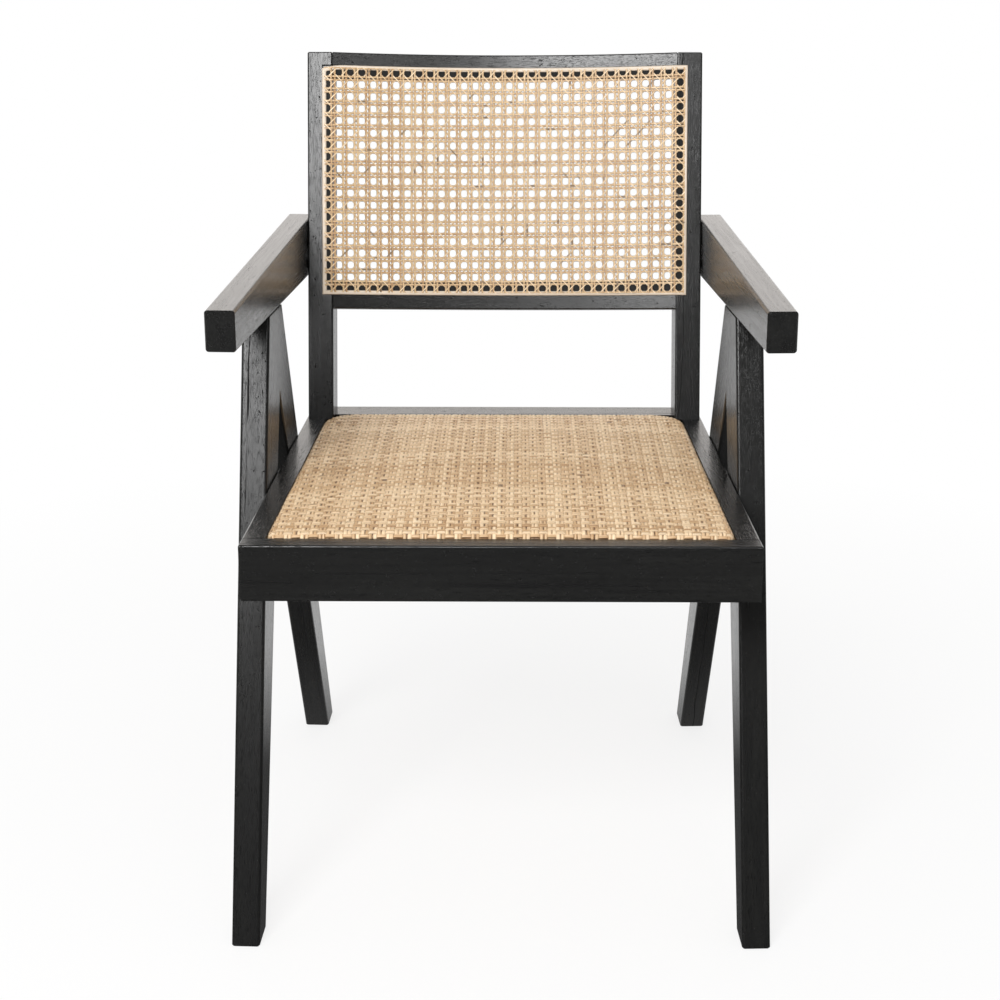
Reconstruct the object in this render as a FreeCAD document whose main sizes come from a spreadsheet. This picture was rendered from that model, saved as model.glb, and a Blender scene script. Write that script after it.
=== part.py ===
import FreeCAD, Part
import math
import os

import Sketcher
from FreeCAD import Placement, Rotation, Vector

# Cane-back armchair with a woven drop-in seat. Millimetres, +Z up, the front faces -Y,
# and the origin is on the floor under the middle of the chair.

# Driving dimensions: name, value (millimetres or degrees), meaning
SIZES = [
    ("side_half_width", 267.8, "middle of the chair to the outer face of a front foot"),
    ("frame_thick", 28.0, "thickness of legs and armrests"),
    ("toe_in", 2.42, "angle at which the two side frames close towards the back"),
    ("front_foot_y", -271.2, "front edge of the front feet"),
    ("foot_spread", 525.6, "front edge of the front foot to front edge of the rear foot"),
    ("front_foot_depth", 41.5, "front foot, front to back"),
    ("rear_foot_depth", 41.5, "rear foot, front to back"),
    ("seam_setback", 245.7, "front edge of the front foot to the seam between the legs"),
    ("crotch_height", 502.88, "floor to the lower end of the leg seam"),
    ("front_leg_top", 47.73, "front leg before the seam, under the armrest"),
    ("rear_leg_top", 32.02, "rear leg behind the seam, under the armrest"),
    ("leg_arris", 3.0, "rounding of the long edges of legs and armrests"),
    ("end_bevel", 1.2, "bevel round the ends of legs, armrests, posts and front rail"),
    ("arm_setback", 3.45, "armrest's rear end behind the back posts"),
    ("arm_length", 510.4, "armrest, end to end"),
    ("arm_top", 645.0, "top of the armrest at its front"),
    ("arm_drop", 6.0, "how much lower the armrest's top is at its rear"),
    ("arm_front_height", 38.6, "armrest section at its front"),
    ("arm_rear_height", 64.8, "armrest section at its rear"),
    ("seat_front_y", -298.2, "front face of the seat frame"),
    ("seat_height", 433.6, "top of the front rail"),
    ("seat_slope", 1.0, "slope of the seat down to the back"),
    ("seat_depth", 500.4, "seat frame, front to back"),
    ("rail_height", 54.6, "height of the seat rails"),
    ("front_rail_thick", 22.0, "thickness of the front seat rail"),
    ("side_rail_thick", 22.0, "thickness of the side seat rails"),
    ("rear_rail_thick", 36.0, "thickness of the rear seat rail"),
    ("rail_arris", 2.0, "rounding of the long edges of seat rails and posts"),
    ("back_setback", 55.2, "rear of the seat frame to the foot of the back posts, along the seat"),
    ("back_rake", 15.05, "lean of the back"),
    ("post_height", 407.5, "back post, along its front face"),
    ("post_width", 28.0, "back post, seen from the front"),
    ("post_depth", 38.0, "back post, front to back"),
    ("back_rail_height", 32.0, "height of the bottom back rail"),
    ("top_rail_height", 26.5, "height of the top back rail"),
    ("back_rail_thick", 24.0, "thickness of the two back rails"),
    ("low_rail_rise", 123.2, "foot of the post to the underside of the bottom back rail"),
    ("back_sag", 22.8, "hollow of the back rails at mid span"),
    ("back_bevel", 1.5, "bevel along the back rails"),
    ("spline_inset", 14.3, "top of the back frame to the spline"),
    ("spline_side_inset", 16.2, "outer face of a back post to the spline"),
    ("spline_low_inset", 15.8, "underside of the bottom back rail to the spline"),
    ("spline_width", 4.8, "width of the reed spline"),
    ("spline_proud", 1.4, "height of the spline above the wood"),
    ("groove_depth", 5.0, "depth of the groove for the spline"),
    ("cane_thick", 1.2, "thickness of the woven cane"),
    ("cane_columns", 18, "openings across the cane panel"),
    ("cane_rows", 12, "openings up the cane panel"),
    ("cane_strand", 8.5, "width of the cane left between openings"),
    ("board_thick", 10.0, "plywood seat board"),
    ("board_sink", 4.0, "top of the seat board below the top of the rails"),
    ("seat_gap", 1.0, "gap between the seat cover and the rails"),
    ("weave_thick", 2.0, "thickness of the woven seat cover"),
    ("edge_rise", 2.0, "edge of the seat cover above the rails"),
    ("seat_crown", 10.0, "middle of the seat cover above its edge"),
    ("end_crown", 3.0, "crown of the seat cover along its front and rear edges"),
    ("seat_roll", 2.5, "edge of the seat cover turned down to the rails"),
    ("front_corner", 10.0, "corner radius of the seat at the front"),
    ("rear_corner", 42.0, "corner radius of the seat at the rear, clear of the posts"),
    ("block_leg", 62.0, "corner block along the rails"),
    ("block_height", 24.0, "height of the corner blocks"),
    ("tenon_thick", 10.0, "thickness of all tenons"),
    ("arm_tenon_width", 18.0, "tenon on top of each leg, front to back"),
    ("arm_tenon_length", 20.0, "tenon on top of each leg, into the armrest"),
    ("arm_tenon_shoulder", 8.0, "leg seam to the tenon on top of each leg"),
    ("seam_tenon_length", 32.0, "loose tenon across the leg seam"),
    ("seam_tenon_height", 36.0, "height of the loose tenon in the leg seam"),
    ("seam_tenon_rise", 26.0, "crotch of the legs to the loose tenon"),
    ("rail_tenon_length", 12.0, "tenons of the seat rails"),
    ("rail_tenon_height", 34.0, "height of the seat rail tenons"),
    ("post_tenon_width", 16.0, "tenon under each post, front to back"),
    ("post_tenon_length", 25.0, "tenon under each post, into the side rail"),
    ("post_tenon_setback", 6.0, "front face of the post to its tenon"),
    ("back_tenon_length", 14.0, "tenons of the back rails"),
    ("back_tenon_height", 20.0, "height of the back rail tenons"),
    ("back_tenon_setback", 7.0, "front face of the post to the back rail tenon"),
    ("tenon_overlap", 6.0, "root of a tenon inside its own piece"),
    ("dowel_radius", 4.0, "dowels between armrest and post"),
    ("dowel_length", 32.0, "length of those dowels"),
    ("dowel_spacing", 24.0, "one of those dowels above the other"),
    ("bolt_radius", 3.0, "bolts from the side rails into the legs"),
    ("bolt_head_width", 10.0, "head of those bolts, across its flats"),
    ("bolt_head_height", 4.0, "height of the bolt head"),
    ("bolt_reach", 18.0, "bolt inside the leg"),
    ("bolt_sink", 21.5, "top of the side rail to the upper bolt"),
    ("bolt_spacing", 22.0, "one bolt above the other"),
    ("joint_gap", 0.2, "clearance around tenons and between frames"),
    ("bore_gap", 0.2, "radial clearance of dowels and bolts"),
]

SIDES = {"left": -1, "right": 1}
UP = Vector(0, 0, 1)
ALONG_X = Vector(1, 0, 0)
ALONG_Y = Vector(0, 1, 0)

doc = FreeCAD.newDocument("cane_armchair")
sheet = doc.addObject("Spreadsheet::Sheet", "Sizes")
for row, (alias, number, meaning) in enumerate(SIZES, start=1):
    sheet.set(f"A{row}", meaning)
    sheet.set(f"B{row}", str(number))
    sheet.setAlias(f"B{row}", alias)
doc.recompute()


def value(expression):
    """Number that an expression of the sheet gives."""
    return float(sheet.evalExpression(expression))


def S(alias):
    """Expression that names one size of the sheet."""
    return f"Sizes.{alias}"


# Expressions shared by pieces that meet

TAN_TOE = "tan(Sizes.toe_in)"
COS_TOE = "cos(Sizes.toe_in)"
ARM_FRONT_UNDER = "(Sizes.arm_top - Sizes.arm_front_height)"
ARM_REAR_TOP = "(Sizes.arm_top - Sizes.arm_drop)"
ARM_REAR_UNDER = f"({ARM_REAR_TOP} - Sizes.arm_rear_height)"
UNDER_SLOPE = f"(({ARM_FRONT_UNDER} - {ARM_REAR_UNDER}) / Sizes.arm_length)"
REAR_EDGE_FOOT = "(Sizes.foot_spread + Sizes.rear_foot_depth)"
SEAM_Y, CROTCH_Z = S("seam_setback"), S("crotch_height")

# The back posts stand on the rear of the seat frame, and the armrests end behind them
POST_SETBACK = "(Sizes.seat_depth - Sizes.back_setback)"
POST_FOOT_Y = f"(Sizes.seat_front_y + {POST_SETBACK} * cos(Sizes.seat_slope))"
POST_FOOT_Z = f"(Sizes.seat_height - {POST_SETBACK} * sin(Sizes.seat_slope))"
POST_AT_ARM_Y = f"({POST_FOOT_Y} + tan(Sizes.back_rake) * ({ARM_REAR_TOP} - {POST_FOOT_Z}))"
POST_REAR_Y = f"({POST_AT_ARM_Y} + Sizes.post_depth / cos(Sizes.back_rake))"
ARM_REAR = f"(({POST_REAR_Y} - Sizes.front_foot_y) / {COS_TOE} + Sizes.arm_setback)"
ARM_FRONT = f"({ARM_REAR} - Sizes.arm_length)"


def under_arm(along):
    """Height of the armrest's underside at a distance behind the front foot's front edge."""
    return f"({ARM_FRONT_UNDER} - {UNDER_SLOPE} * ({along} - {ARM_FRONT}))"


FRONT_TOP_Y = f"({SEAM_Y} - Sizes.front_leg_top)"
REAR_TOP_Y = f"({SEAM_Y} + Sizes.rear_leg_top)"
SEAM_TOP_Z, FRONT_TOP_Z, REAR_TOP_Z = under_arm(SEAM_Y), under_arm(FRONT_TOP_Y), under_arm(REAR_TOP_Y)

# Leans of the legs' edges, which follow from the feet, the seam and the armrests
LEANS = [
    ("front_leg_front_lean", f"atan({FRONT_TOP_Y} / {FRONT_TOP_Z})"),
    ("front_leg_rear_lean", f"atan(({SEAM_Y} - Sizes.front_foot_depth) / {CROTCH_Z})"),
    ("rear_leg_front_lean", f"atan((Sizes.foot_spread - {SEAM_Y}) / {CROTCH_Z})"),
    ("rear_leg_rear_lean", f"atan(({REAR_EDGE_FOOT} - {REAR_TOP_Y}) / {REAR_TOP_Z})"),
]
for row, (alias, expression) in enumerate(LEANS, start=len(SIZES) + 1):
    sheet.set(f"B{row}", "=" + expression.replace("Sizes.", ""))
    sheet.setAlias(f"B{row}", alias)
doc.recompute()

# Half width of the seat frame at a distance behind its front face
SEAT_HALF = (
    "(Sizes.side_half_width - Sizes.frame_thick / cos(Sizes.toe_in) - Sizes.joint_gap"
    " + tan(Sizes.toe_in) * (Sizes.front_foot_y - Sizes.seat_front_y))"
)


def rail_outer(behind):
    """Outer face of a side rail at a distance behind the seat frame's front."""
    return f"({SEAT_HALF} - {TAN_TOE} * ({behind}))"


def rail_inner(behind):
    """Inner face of a side rail at a distance behind the seat frame's front."""
    return f"({rail_outer(behind)} - Sizes.side_rail_thick / {COS_TOE})"


REAR_RAIL_FRONT = "(Sizes.seat_depth - Sizes.rear_rail_thick)"
# The posts' outer faces lie against the inner faces of the armrests
BACK_HALF = (
    "(Sizes.side_half_width - Sizes.frame_thick / cos(Sizes.toe_in) - Sizes.joint_gap"
    f" - {TAN_TOE} * ({POST_AT_ARM_Y} - Sizes.front_foot_y))"
)
POST_INNER = f"({BACK_HALF} - Sizes.post_width)"
BACK_RADIUS = f"(({POST_INNER} ^ 2 + Sizes.back_sag ^ 2) / (2 * Sizes.back_sag))"
SPLINE_OUTER = f"({BACK_HALF} - Sizes.spline_side_inset)"
SPLINE_INNER = f"({SPLINE_OUTER} - Sizes.spline_width)"
SPLINE_LOW = "(Sizes.low_rail_rise + Sizes.spline_low_inset)"
SPLINE_HIGH = "(Sizes.post_height - Sizes.spline_inset)"
TOP_RAIL_RISE = "(Sizes.post_height - Sizes.top_rail_height)"

BOARD_TOP = "(-Sizes.board_sink)"
BOARD_UNDER = "(-Sizes.board_sink - Sizes.board_thick)"


# Places of the sub-assemblies

SEAT_PLACE = Placement(
    Vector(0, value(S("seat_front_y")), value(S("seat_height"))),
    Rotation(ALONG_X, -value(S("seat_slope"))),
)
BACK_PLACE = Placement(
    Vector(0, value(POST_FOOT_Y), value(POST_FOOT_Z)),
    Rotation(ALONG_X, -value(S("back_rake"))),
)


def side_place(side):
    """Place of a side frame: its middle plane, from the front edge of the front foot."""
    middle = value(f"Sizes.side_half_width - Sizes.frame_thick / 2 / {COS_TOE}")
    return Placement(
        Vector(side * middle, value(S("front_foot_y")), 0),
        Rotation(UP, side * value(S("toe_in"))),
    )


# Building blocks

pieces = []


def new_body(label, place):
    """Empty body of one piece at its place."""
    body = doc.addObject("PartDesign::Body", label)
    body.Label = label
    body.Placement = place
    pieces.append(body)
    return body


def new_shape(label, shape, place):
    """Piece whose shape is worked out directly."""
    feature = doc.addObject("Part::Feature", label)
    feature.Label = label
    feature.Shape = shape
    feature.Placement = place
    pieces.append(feature)
    return feature


def new_sketch(body, name, plane, raised="0"):
    """Sketch on one of the body's own planes, raised along its normal."""
    sketch = body.newObject("Sketcher::SketchObject", name)
    support = next(item for item in body.Origin.OriginFeatures if item.Role == plane)
    sketch.AttachmentSupport = [(support, "")]
    sketch.MapMode = "FlatFace"
    sketch.setExpression("AttachmentOffset.Base.z", raised)
    return sketch


def fix_point(sketch, geometry, end, across, up):
    """Tie an end of a sketch line or arc to two expressions."""
    for kind, expression in (("DistanceX", across), ("DistanceY", up)):
        rule = Sketcher.Constraint(kind, -1, 1, geometry, end, value(expression))
        index = sketch.addConstraint(rule)
        sketch.setExpression(f"Constraints[{index}]", expression)


def polygon(sketch, corners):
    """Closed outline through corners, each a pair of expressions."""
    points = [Vector(value(across), value(up), 0) for across, up in corners]
    count = len(points)
    for index, point in enumerate(points):
        sketch.addGeometry(Part.LineSegment(point, points[(index + 1) % count]), False)
    for index in range(count):
        sketch.addConstraint(Sketcher.Constraint("Coincident", index, 2, (index + 1) % count, 1))
    for index, (across, up) in enumerate(corners):
        fix_point(sketch, index, 1, across, up)
    return sketch


def pad(body, sketch, length, symmetric=False, downwards=False):
    """Solid from a sketch."""
    feature = body.newObject("PartDesign::Pad", f"{sketch.Name}_pad")
    feature.Profile = sketch
    feature.setExpression("Length", length)
    if symmetric:
        feature.SideType = "Symmetric"
    feature.Reversed = downwards
    doc.recompute()
    return feature


def round_edges(body, feature, radius, chosen):
    """Round the edges of a feature that a test picks."""
    names = [f"Edge{n}" for n, edge in enumerate(feature.Shape.Edges, 1) if chosen(edge)]
    fillet = body.newObject("PartDesign::Fillet", f"{feature.Name}_arris")
    fillet.Base = (feature, names)
    fillet.setExpression("Radius", radius)
    doc.recompute()
    return fillet


def bevel_edges(body, feature, size, chosen):
    """Bevel the edges of a feature that a test picks."""
    names = [f"Edge{n}" for n, edge in enumerate(feature.Shape.Edges, 1) if chosen(edge)]
    bevel = body.newObject("PartDesign::Chamfer", f"{feature.Name}_bevel")
    bevel.Base = (feature, names)
    bevel.setExpression("Size", size)
    doc.recompute()
    return bevel


def lies_at(axis, place):
    """Test for edges that lie in a plane square to an axis."""
    return lambda edge: all(abs(getattr(v, axis) - value(place)) < 1e-3 for v in edge.Vertexes)


def block(body, kind, name, size, place):
    """Box that is added to a body or cut from it, its size as three expressions."""
    box = body.newObject(f"PartDesign::{kind}Box", name)
    for dimension, expression in zip(("Length", "Width", "Height"), size):
        box.setExpression(dimension, expression)
    box.Placement = place
    return box


def grown(size):
    """Size of the mortise for a tenon."""
    return tuple(f"{length} + 2 * Sizes.joint_gap" for length in size)


def tenon(body, name, size, place):
    """Tenon that stands on a piece."""
    block(body, "Additive", name, size, place)


def mortise(body, name, size, place):
    """Pocket for a tenon, with clearance all round."""
    gap = value(S("joint_gap"))
    block(body, "Subtractive", name, grown(size), place * Placement(Vector(-gap, -gap, -gap), Rotation()))


def bore(body, name, radius, depth, place):
    """Round hole along the place's own Z axis."""
    hole = body.newObject("PartDesign::SubtractiveCylinder", name)
    hole.setExpression("Radius", f"{radius} + Sizes.bore_gap")
    hole.setExpression("Height", depth)
    hole.Placement = place


def seen_from(target, source, local):
    """Place given in one sub-assembly's frame, in the frame of another."""
    return target.inverse() * source * local


def hexagon_bolt(radius, length, head_width, head_height):
    """Bolt along +Z: its six-sided head below zero, its shank above."""
    reach = head_width / math.sqrt(3)
    turns = [math.radians(60 * number) for number in range(7)]
    corners = [Vector(reach * math.cos(a), reach * math.sin(a), -head_height) for a in turns]
    head = Part.Face(Part.makePolygon(corners)).extrude(Vector(0, 0, head_height))
    return head.fuse(Part.makeCylinder(radius, length)).removeSplitter()


# Side frames: front leg, rear leg, armrest

FRONT_LEG = [
    ("0", "0"),
    (S("front_foot_depth"), "0"),
    (SEAM_Y, CROTCH_Z),
    (SEAM_Y, SEAM_TOP_Z),
    (FRONT_TOP_Y, FRONT_TOP_Z),
]
REAR_LEG = [
    (REAR_EDGE_FOOT, "0"),
    (S("foot_spread"), "0"),
    (SEAM_Y, CROTCH_Z),
    (SEAM_Y, SEAM_TOP_Z),
    (REAR_TOP_Y, REAR_TOP_Z),
]
ARMREST = [
    (ARM_FRONT, ARM_FRONT_UNDER),
    (ARM_REAR, ARM_REAR_UNDER),
    (ARM_REAR, ARM_REAR_TOP),
    (ARM_FRONT, S("arm_top")),
]
ARM_TENON = (S("tenon_thick"), S("arm_tenon_width"), "Sizes.arm_tenon_length + Sizes.tenon_overlap")
SEAM_TENON = (S("tenon_thick"), S("seam_tenon_length"), S("seam_tenon_height"))


def is_long(edge):
    """Edge of a leg or armrest that runs along it, on its inner or outer face."""
    ends = edge.Vertexes
    return abs(ends[0].X - ends[1].X) < 1e-3 and edge.Length > value("3 * Sizes.frame_thick")


def arm_tenon_place(direction):
    """Place of the tenon on top of a leg, before or behind the seam."""
    shoulder = value(S("arm_tenon_shoulder"))
    width = value(S("arm_tenon_width"))
    start = shoulder if direction > 0 else -shoulder - width
    foot = value(f"{SEAM_TOP_Z} - Sizes.tenon_overlap")
    return Placement(Vector(-value(S("tenon_thick")) / 2, value(SEAM_Y) + start, foot), Rotation())


def seam_tenon_place():
    """Place of the loose tenon across the leg seam."""
    return Placement(
        Vector(
            -value(S("tenon_thick")) / 2,
            value(f"{SEAM_Y} - Sizes.seam_tenon_length / 2"),
            value(f"{CROTCH_Z} + Sizes.seam_tenon_rise"),
        ),
        Rotation(),
    )


def bolt_places(side):
    """Places of the four bolts of a side, at the inner face of the side rail, pointing outwards."""
    upper = value("Sizes.seat_height - Sizes.bolt_sink")
    inner = value("Sizes.frame_thick / 2 + Sizes.joint_gap + Sizes.side_rail_thick")
    rise = value("tan(Sizes.seat_slope)")
    front = (value(S("front_foot_depth")), S("front_leg_front_lean"), S("front_leg_rear_lean"), 1, 0)
    rear = (
        value(S("rear_foot_depth")),
        S("rear_leg_front_lean"),
        S("rear_leg_rear_lean"),
        -1,
        value(S("foot_spread")),
    )
    places = []
    for depth, lean_a, lean_b, way, start in (front, rear):
        lean = (value(f"tan({lean_a})") + value(f"tan({lean_b})")) / 2
        for step in (0, 1):
            height = upper - step * value(S("bolt_spacing"))
            along = start + depth / 2 + way * lean * height
            height -= rise * (along + value("Sizes.front_foot_y - Sizes.seat_front_y"))
            places.append(Placement(Vector(-side * inner, along, height), Rotation(ALONG_Y, side * 90)))
    return places


def dowel_places(side):
    """Places of the two dowels of a side, from inside the post outwards into the armrest."""
    arm_middle = value(f"({ARM_REAR_TOP} + {ARM_REAR_UNDER}) / 2")
    places = []
    for step in (-0.5, 0.5):
        height = arm_middle + step * value(S("dowel_spacing"))
        up_post = (height - BACK_PLACE.Base.z) / math.cos(math.radians(value(S("back_rake"))))
        in_post = BACK_PLACE.multVec(Vector(0, value(S("post_depth")) / 2, up_post))
        along = (in_post.y - value(S("front_foot_y"))) / value(COS_TOE)
        start = value("Sizes.frame_thick / 2 + Sizes.dowel_length / 2")
        places.append(Placement(Vector(-side * start, along, in_post.z), Rotation(ALONG_Y, side * 90)))
    return places


def leg(label, side, corners, direction):
    """One leg, with its tenon, its half of the seam mortise and its bolt holes."""
    body = new_body(label, side_place(side))
    sketch = polygon(new_sketch(body, f"{label}_side", "YZ_Plane"), corners)
    solid = pad(body, sketch, S("frame_thick"), symmetric=True)
    seam = lies_at("Y", SEAM_Y)
    arris = round_edges(body, solid, S("leg_arris"), lambda edge: is_long(edge) and not seam(edge))
    bevel_edges(body, arris, S("end_bevel"), lies_at("Z", "0"))
    tenon(body, f"{label}_tenon", ARM_TENON, arm_tenon_place(direction))
    mortise(body, f"{label}_seam_mortise", SEAM_TENON, seam_tenon_place())
    own = bolt_places(side)[:2] if direction < 0 else bolt_places(side)[2:]
    for number, place in enumerate(own):
        depth = "Sizes.side_rail_thick + Sizes.joint_gap + Sizes.bolt_reach + Sizes.bore_gap"
        bore(body, f"{label}_bolt_hole_{number}", S("bolt_radius"), depth, place)
    return body


def armrest(label, side):
    """Armrest, with mortises for the leg tenons and holes for the post dowels."""
    body = new_body(label, side_place(side))
    sketch = polygon(new_sketch(body, f"{label}_side", "YZ_Plane"), ARMREST)
    solid = pad(body, sketch, S("frame_thick"), symmetric=True)
    arris = round_edges(body, solid, S("leg_arris"), is_long)
    front, rear = lies_at("Y", ARM_FRONT), lies_at("Y", ARM_REAR)
    bevel_edges(body, arris, S("end_bevel"), lambda edge: front(edge) or rear(edge))
    for direction in (-1, 1):
        mortise(body, f"{label}_mortise_{direction + 1}", ARM_TENON, arm_tenon_place(direction))
    for number, place in enumerate(dowel_places(side)):
        depth = "Sizes.dowel_length + Sizes.bore_gap"
        bore(body, f"{label}_dowel_hole_{number}", S("dowel_radius"), depth, place)
    return body


# Seat frame: four rails, corner blocks

RAIL_TENON = (S("tenon_thick"), "Sizes.rail_tenon_length + Sizes.tenon_overlap", S("rail_tenon_height"))
CROSS_TENON = ("Sizes.rail_tenon_length + Sizes.tenon_overlap", S("tenon_thick"), S("rail_tenon_height"))
POST_TENON = (S("tenon_thick"), S("post_tenon_width"), "Sizes.post_tenon_length + Sizes.tenon_overlap")
TENON_LOW = "(-(Sizes.rail_height + Sizes.rail_tenon_height) / 2)"


def side_rail_tenon_place(side):
    """Place of the tenon at the front end of a side rail, in the seat's frame."""
    middle = value(f"{rail_outer(S('front_rail_thick'))} - Sizes.side_rail_thick / 2 / {COS_TOE}")
    foot = Placement(
        Vector(side * middle, value(S("front_rail_thick")), value(TENON_LOW)),
        Rotation(UP, side * value(S("toe_in"))),
    )
    corner = Vector(-value(S("tenon_thick")) / 2, -value(S("rail_tenon_length")), 0)
    return foot * Placement(corner, Rotation())


def rear_rail_tenon_place(side):
    """Place of the tenon at one end of the rear rail, in the seat's frame."""
    centre = value("Sizes.seat_depth - Sizes.rear_rail_thick / 2 + Sizes.tenon_thick / 2")
    face = value(rail_inner(str(centre)))
    start = face - value(S("tenon_overlap")) if side > 0 else -face - value(S("rail_tenon_length"))
    return Placement(Vector(start, centre - value(S("tenon_thick")) / 2, value(TENON_LOW)), Rotation())


def post_tenon_place(side):
    """Place of the tenon under a post, in the back's frame."""
    below = value(S("post_tenon_length"))
    at_seat = value(f"{POST_SETBACK} + Sizes.post_tenon_setback")
    middle = value(f"{rail_outer(str(at_seat))} - Sizes.side_rail_thick / 2")
    corner = Vector(
        side * middle - value(S("tenon_thick")) / 2,
        value(S("post_tenon_setback")),
        -below,
    )
    return Placement(corner, Rotation())


def front_rail():
    """Front seat rail: full width, with mortises for the side rails."""
    body = new_body("seat_rail_front", SEAT_PLACE)
    rear_half = rail_outer(S("front_rail_thick"))
    corners = [
        (f"-{SEAT_HALF}", "0"),
        (SEAT_HALF, "0"),
        (rear_half, S("front_rail_thick")),
        (f"-{rear_half}", S("front_rail_thick")),
    ]
    sketch = polygon(new_sketch(body, "front_rail_plan", "XY_Plane"), corners)
    solid = pad(body, sketch, S("rail_height"), downwards=True)
    face = lies_at("Y", "0")
    arris = round_edges(
        body, solid, S("rail_arris"), lambda edge: face(edge) and edge.Length > value(SEAT_HALF)
    )

    def is_end(edge):
        """Edge round one of the two end faces."""
        return all(abs(abs(v.X) - value(rail_outer(str(v.Y)))) < 1e-3 for v in edge.Vertexes)

    bevel_edges(body, arris, S("end_bevel"), is_end)
    for name, side in SIDES.items():
        mortise(body, f"front_mortise_{name}", RAIL_TENON, side_rail_tenon_place(side))
    return body


def rear_rail():
    """Rear seat rail, tenoned between the side rails."""
    body = new_body("seat_rail_rear", SEAT_PLACE)
    front_half, rear_half = rail_inner(REAR_RAIL_FRONT), rail_inner(S("seat_depth"))
    corners = [
        (f"-{front_half}", REAR_RAIL_FRONT),
        (front_half, REAR_RAIL_FRONT),
        (rear_half, S("seat_depth")),
        (f"-{rear_half}", S("seat_depth")),
    ]
    sketch = polygon(new_sketch(body, "rear_rail_plan", "XY_Plane"), corners)
    solid = pad(body, sketch, S("rail_height"), downwards=True)
    rear_face = value(S("seat_depth"))

    def is_rear(edge):
        """Edge of the rail's rear face that runs across the chair."""
        ends = edge.Vertexes
        return all(v.Y > rear_face - 1e-3 for v in ends) and abs(ends[0].X - ends[1].X) > 1e-3

    round_edges(body, solid, S("rail_arris"), is_rear)
    for name, side in SIDES.items():
        tenon(body, f"rear_tenon_{name}", CROSS_TENON, rear_rail_tenon_place(side))
    return body


def side_rail(label, side):
    """Side seat rail: tenon to the front rail, mortises for the rear rail and the post."""
    body = new_body(label, SEAT_PLACE)
    front, rear = S("front_rail_thick"), S("seat_depth")
    corners = [
        (f"{side} * {rail_outer(front)}", front),
        (f"{side} * {rail_inner(front)}", front),
        (f"{side} * {rail_inner(rear)}", rear),
        (f"{side} * {rail_outer(rear)}", rear),
    ]
    sketch = polygon(new_sketch(body, f"{label}_plan", "XY_Plane"), corners)
    solid = pad(body, sketch, S("rail_height"), downwards=True)

    def is_outer(edge):
        """Edge of the rail's outer face that runs front to back."""
        ends = edge.Vertexes
        outside = all(abs(abs(v.X) - value(rail_outer(str(v.Y)))) < 1e-3 for v in ends)
        return outside and abs(ends[0].Y - ends[1].Y) > 1e-3

    round_edges(body, solid, S("rail_arris"), is_outer)
    tenon(body, f"{label}_tenon", RAIL_TENON, side_rail_tenon_place(side))
    mortise(body, f"{label}_rear_mortise", CROSS_TENON, rear_rail_tenon_place(side))
    under_post = seen_from(SEAT_PLACE, BACK_PLACE, post_tenon_place(side))
    mortise(body, f"{label}_post_mortise", POST_TENON, under_post)
    for number, place in enumerate(bolt_places(side)):
        depth = "Sizes.side_rail_thick + Sizes.joint_gap + Sizes.bolt_reach"
        local = seen_from(SEAT_PLACE, side_place(side), place)
        start = local * Placement(Vector(0, 0, -1), Rotation())
        bore(body, f"{label}_bolt_hole_{number}", S("bolt_radius"), depth, start)
    return body


def corner_block(label, side, at_rear):
    """Three-cornered block in a corner of the seat frame, under the board and clear of the bolts."""
    body = new_body(label, SEAT_PLACE)
    face = REAR_RAIL_FRONT if at_rear else S("front_rail_thick")
    own = bolt_places(side)[2:] if at_rear else bolt_places(side)[:2]
    bolts = [seen_from(SEAT_PLACE, side_place(side), place).Base.y for place in own]
    head = value("Sizes.bolt_head_width / sqrt(3) + Sizes.joint_gap")
    room = min(abs(value(face) - bolt) for bolt in bolts) - head
    reach = f"min(Sizes.block_leg; {room})"
    far = f"({face} - {reach})" if at_rear else f"({face} + {reach})"
    corners = [
        (f"{side} * {rail_inner(face)}", face),
        (f"{side} * ({rail_inner(face)} - {reach})", face),
        (f"{side} * {rail_inner(far)}", far),
    ]
    sketch = polygon(new_sketch(body, f"{label}_plan", "XY_Plane", BOARD_UNDER), corners)
    pad(body, sketch, S("block_height"), downwards=True)
    return body


# Back: posts, curved rails, cane and splines

BACK_RAILS = {
    "bottom": (S("low_rail_rise"), S("back_rail_height")),
    "top": (TOP_RAIL_RISE, S("top_rail_height")),
}
BACK_TENON = ("Sizes.back_tenon_length + Sizes.tenon_overlap", S("tenon_thick"), S("back_tenon_height"))


def post_inner(depth):
    """Inner face of a post at a depth behind its front: the posts close in as the side frames do."""
    return f"({POST_INNER} - {TAN_TOE} * {depth})"


def back_tenon_place(side, rail_rise, rail_height):
    """Place of the tenon at one end of a back rail, in the back's frame."""
    face = value(POST_INNER)
    start = face - value(S("tenon_overlap")) if side > 0 else -face - value(S("back_tenon_length"))
    low = value(f"{rail_rise} + ({rail_height} - Sizes.back_tenon_height) / 2")
    return Placement(Vector(start, value(S("back_tenon_setback")), low), Rotation())


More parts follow.
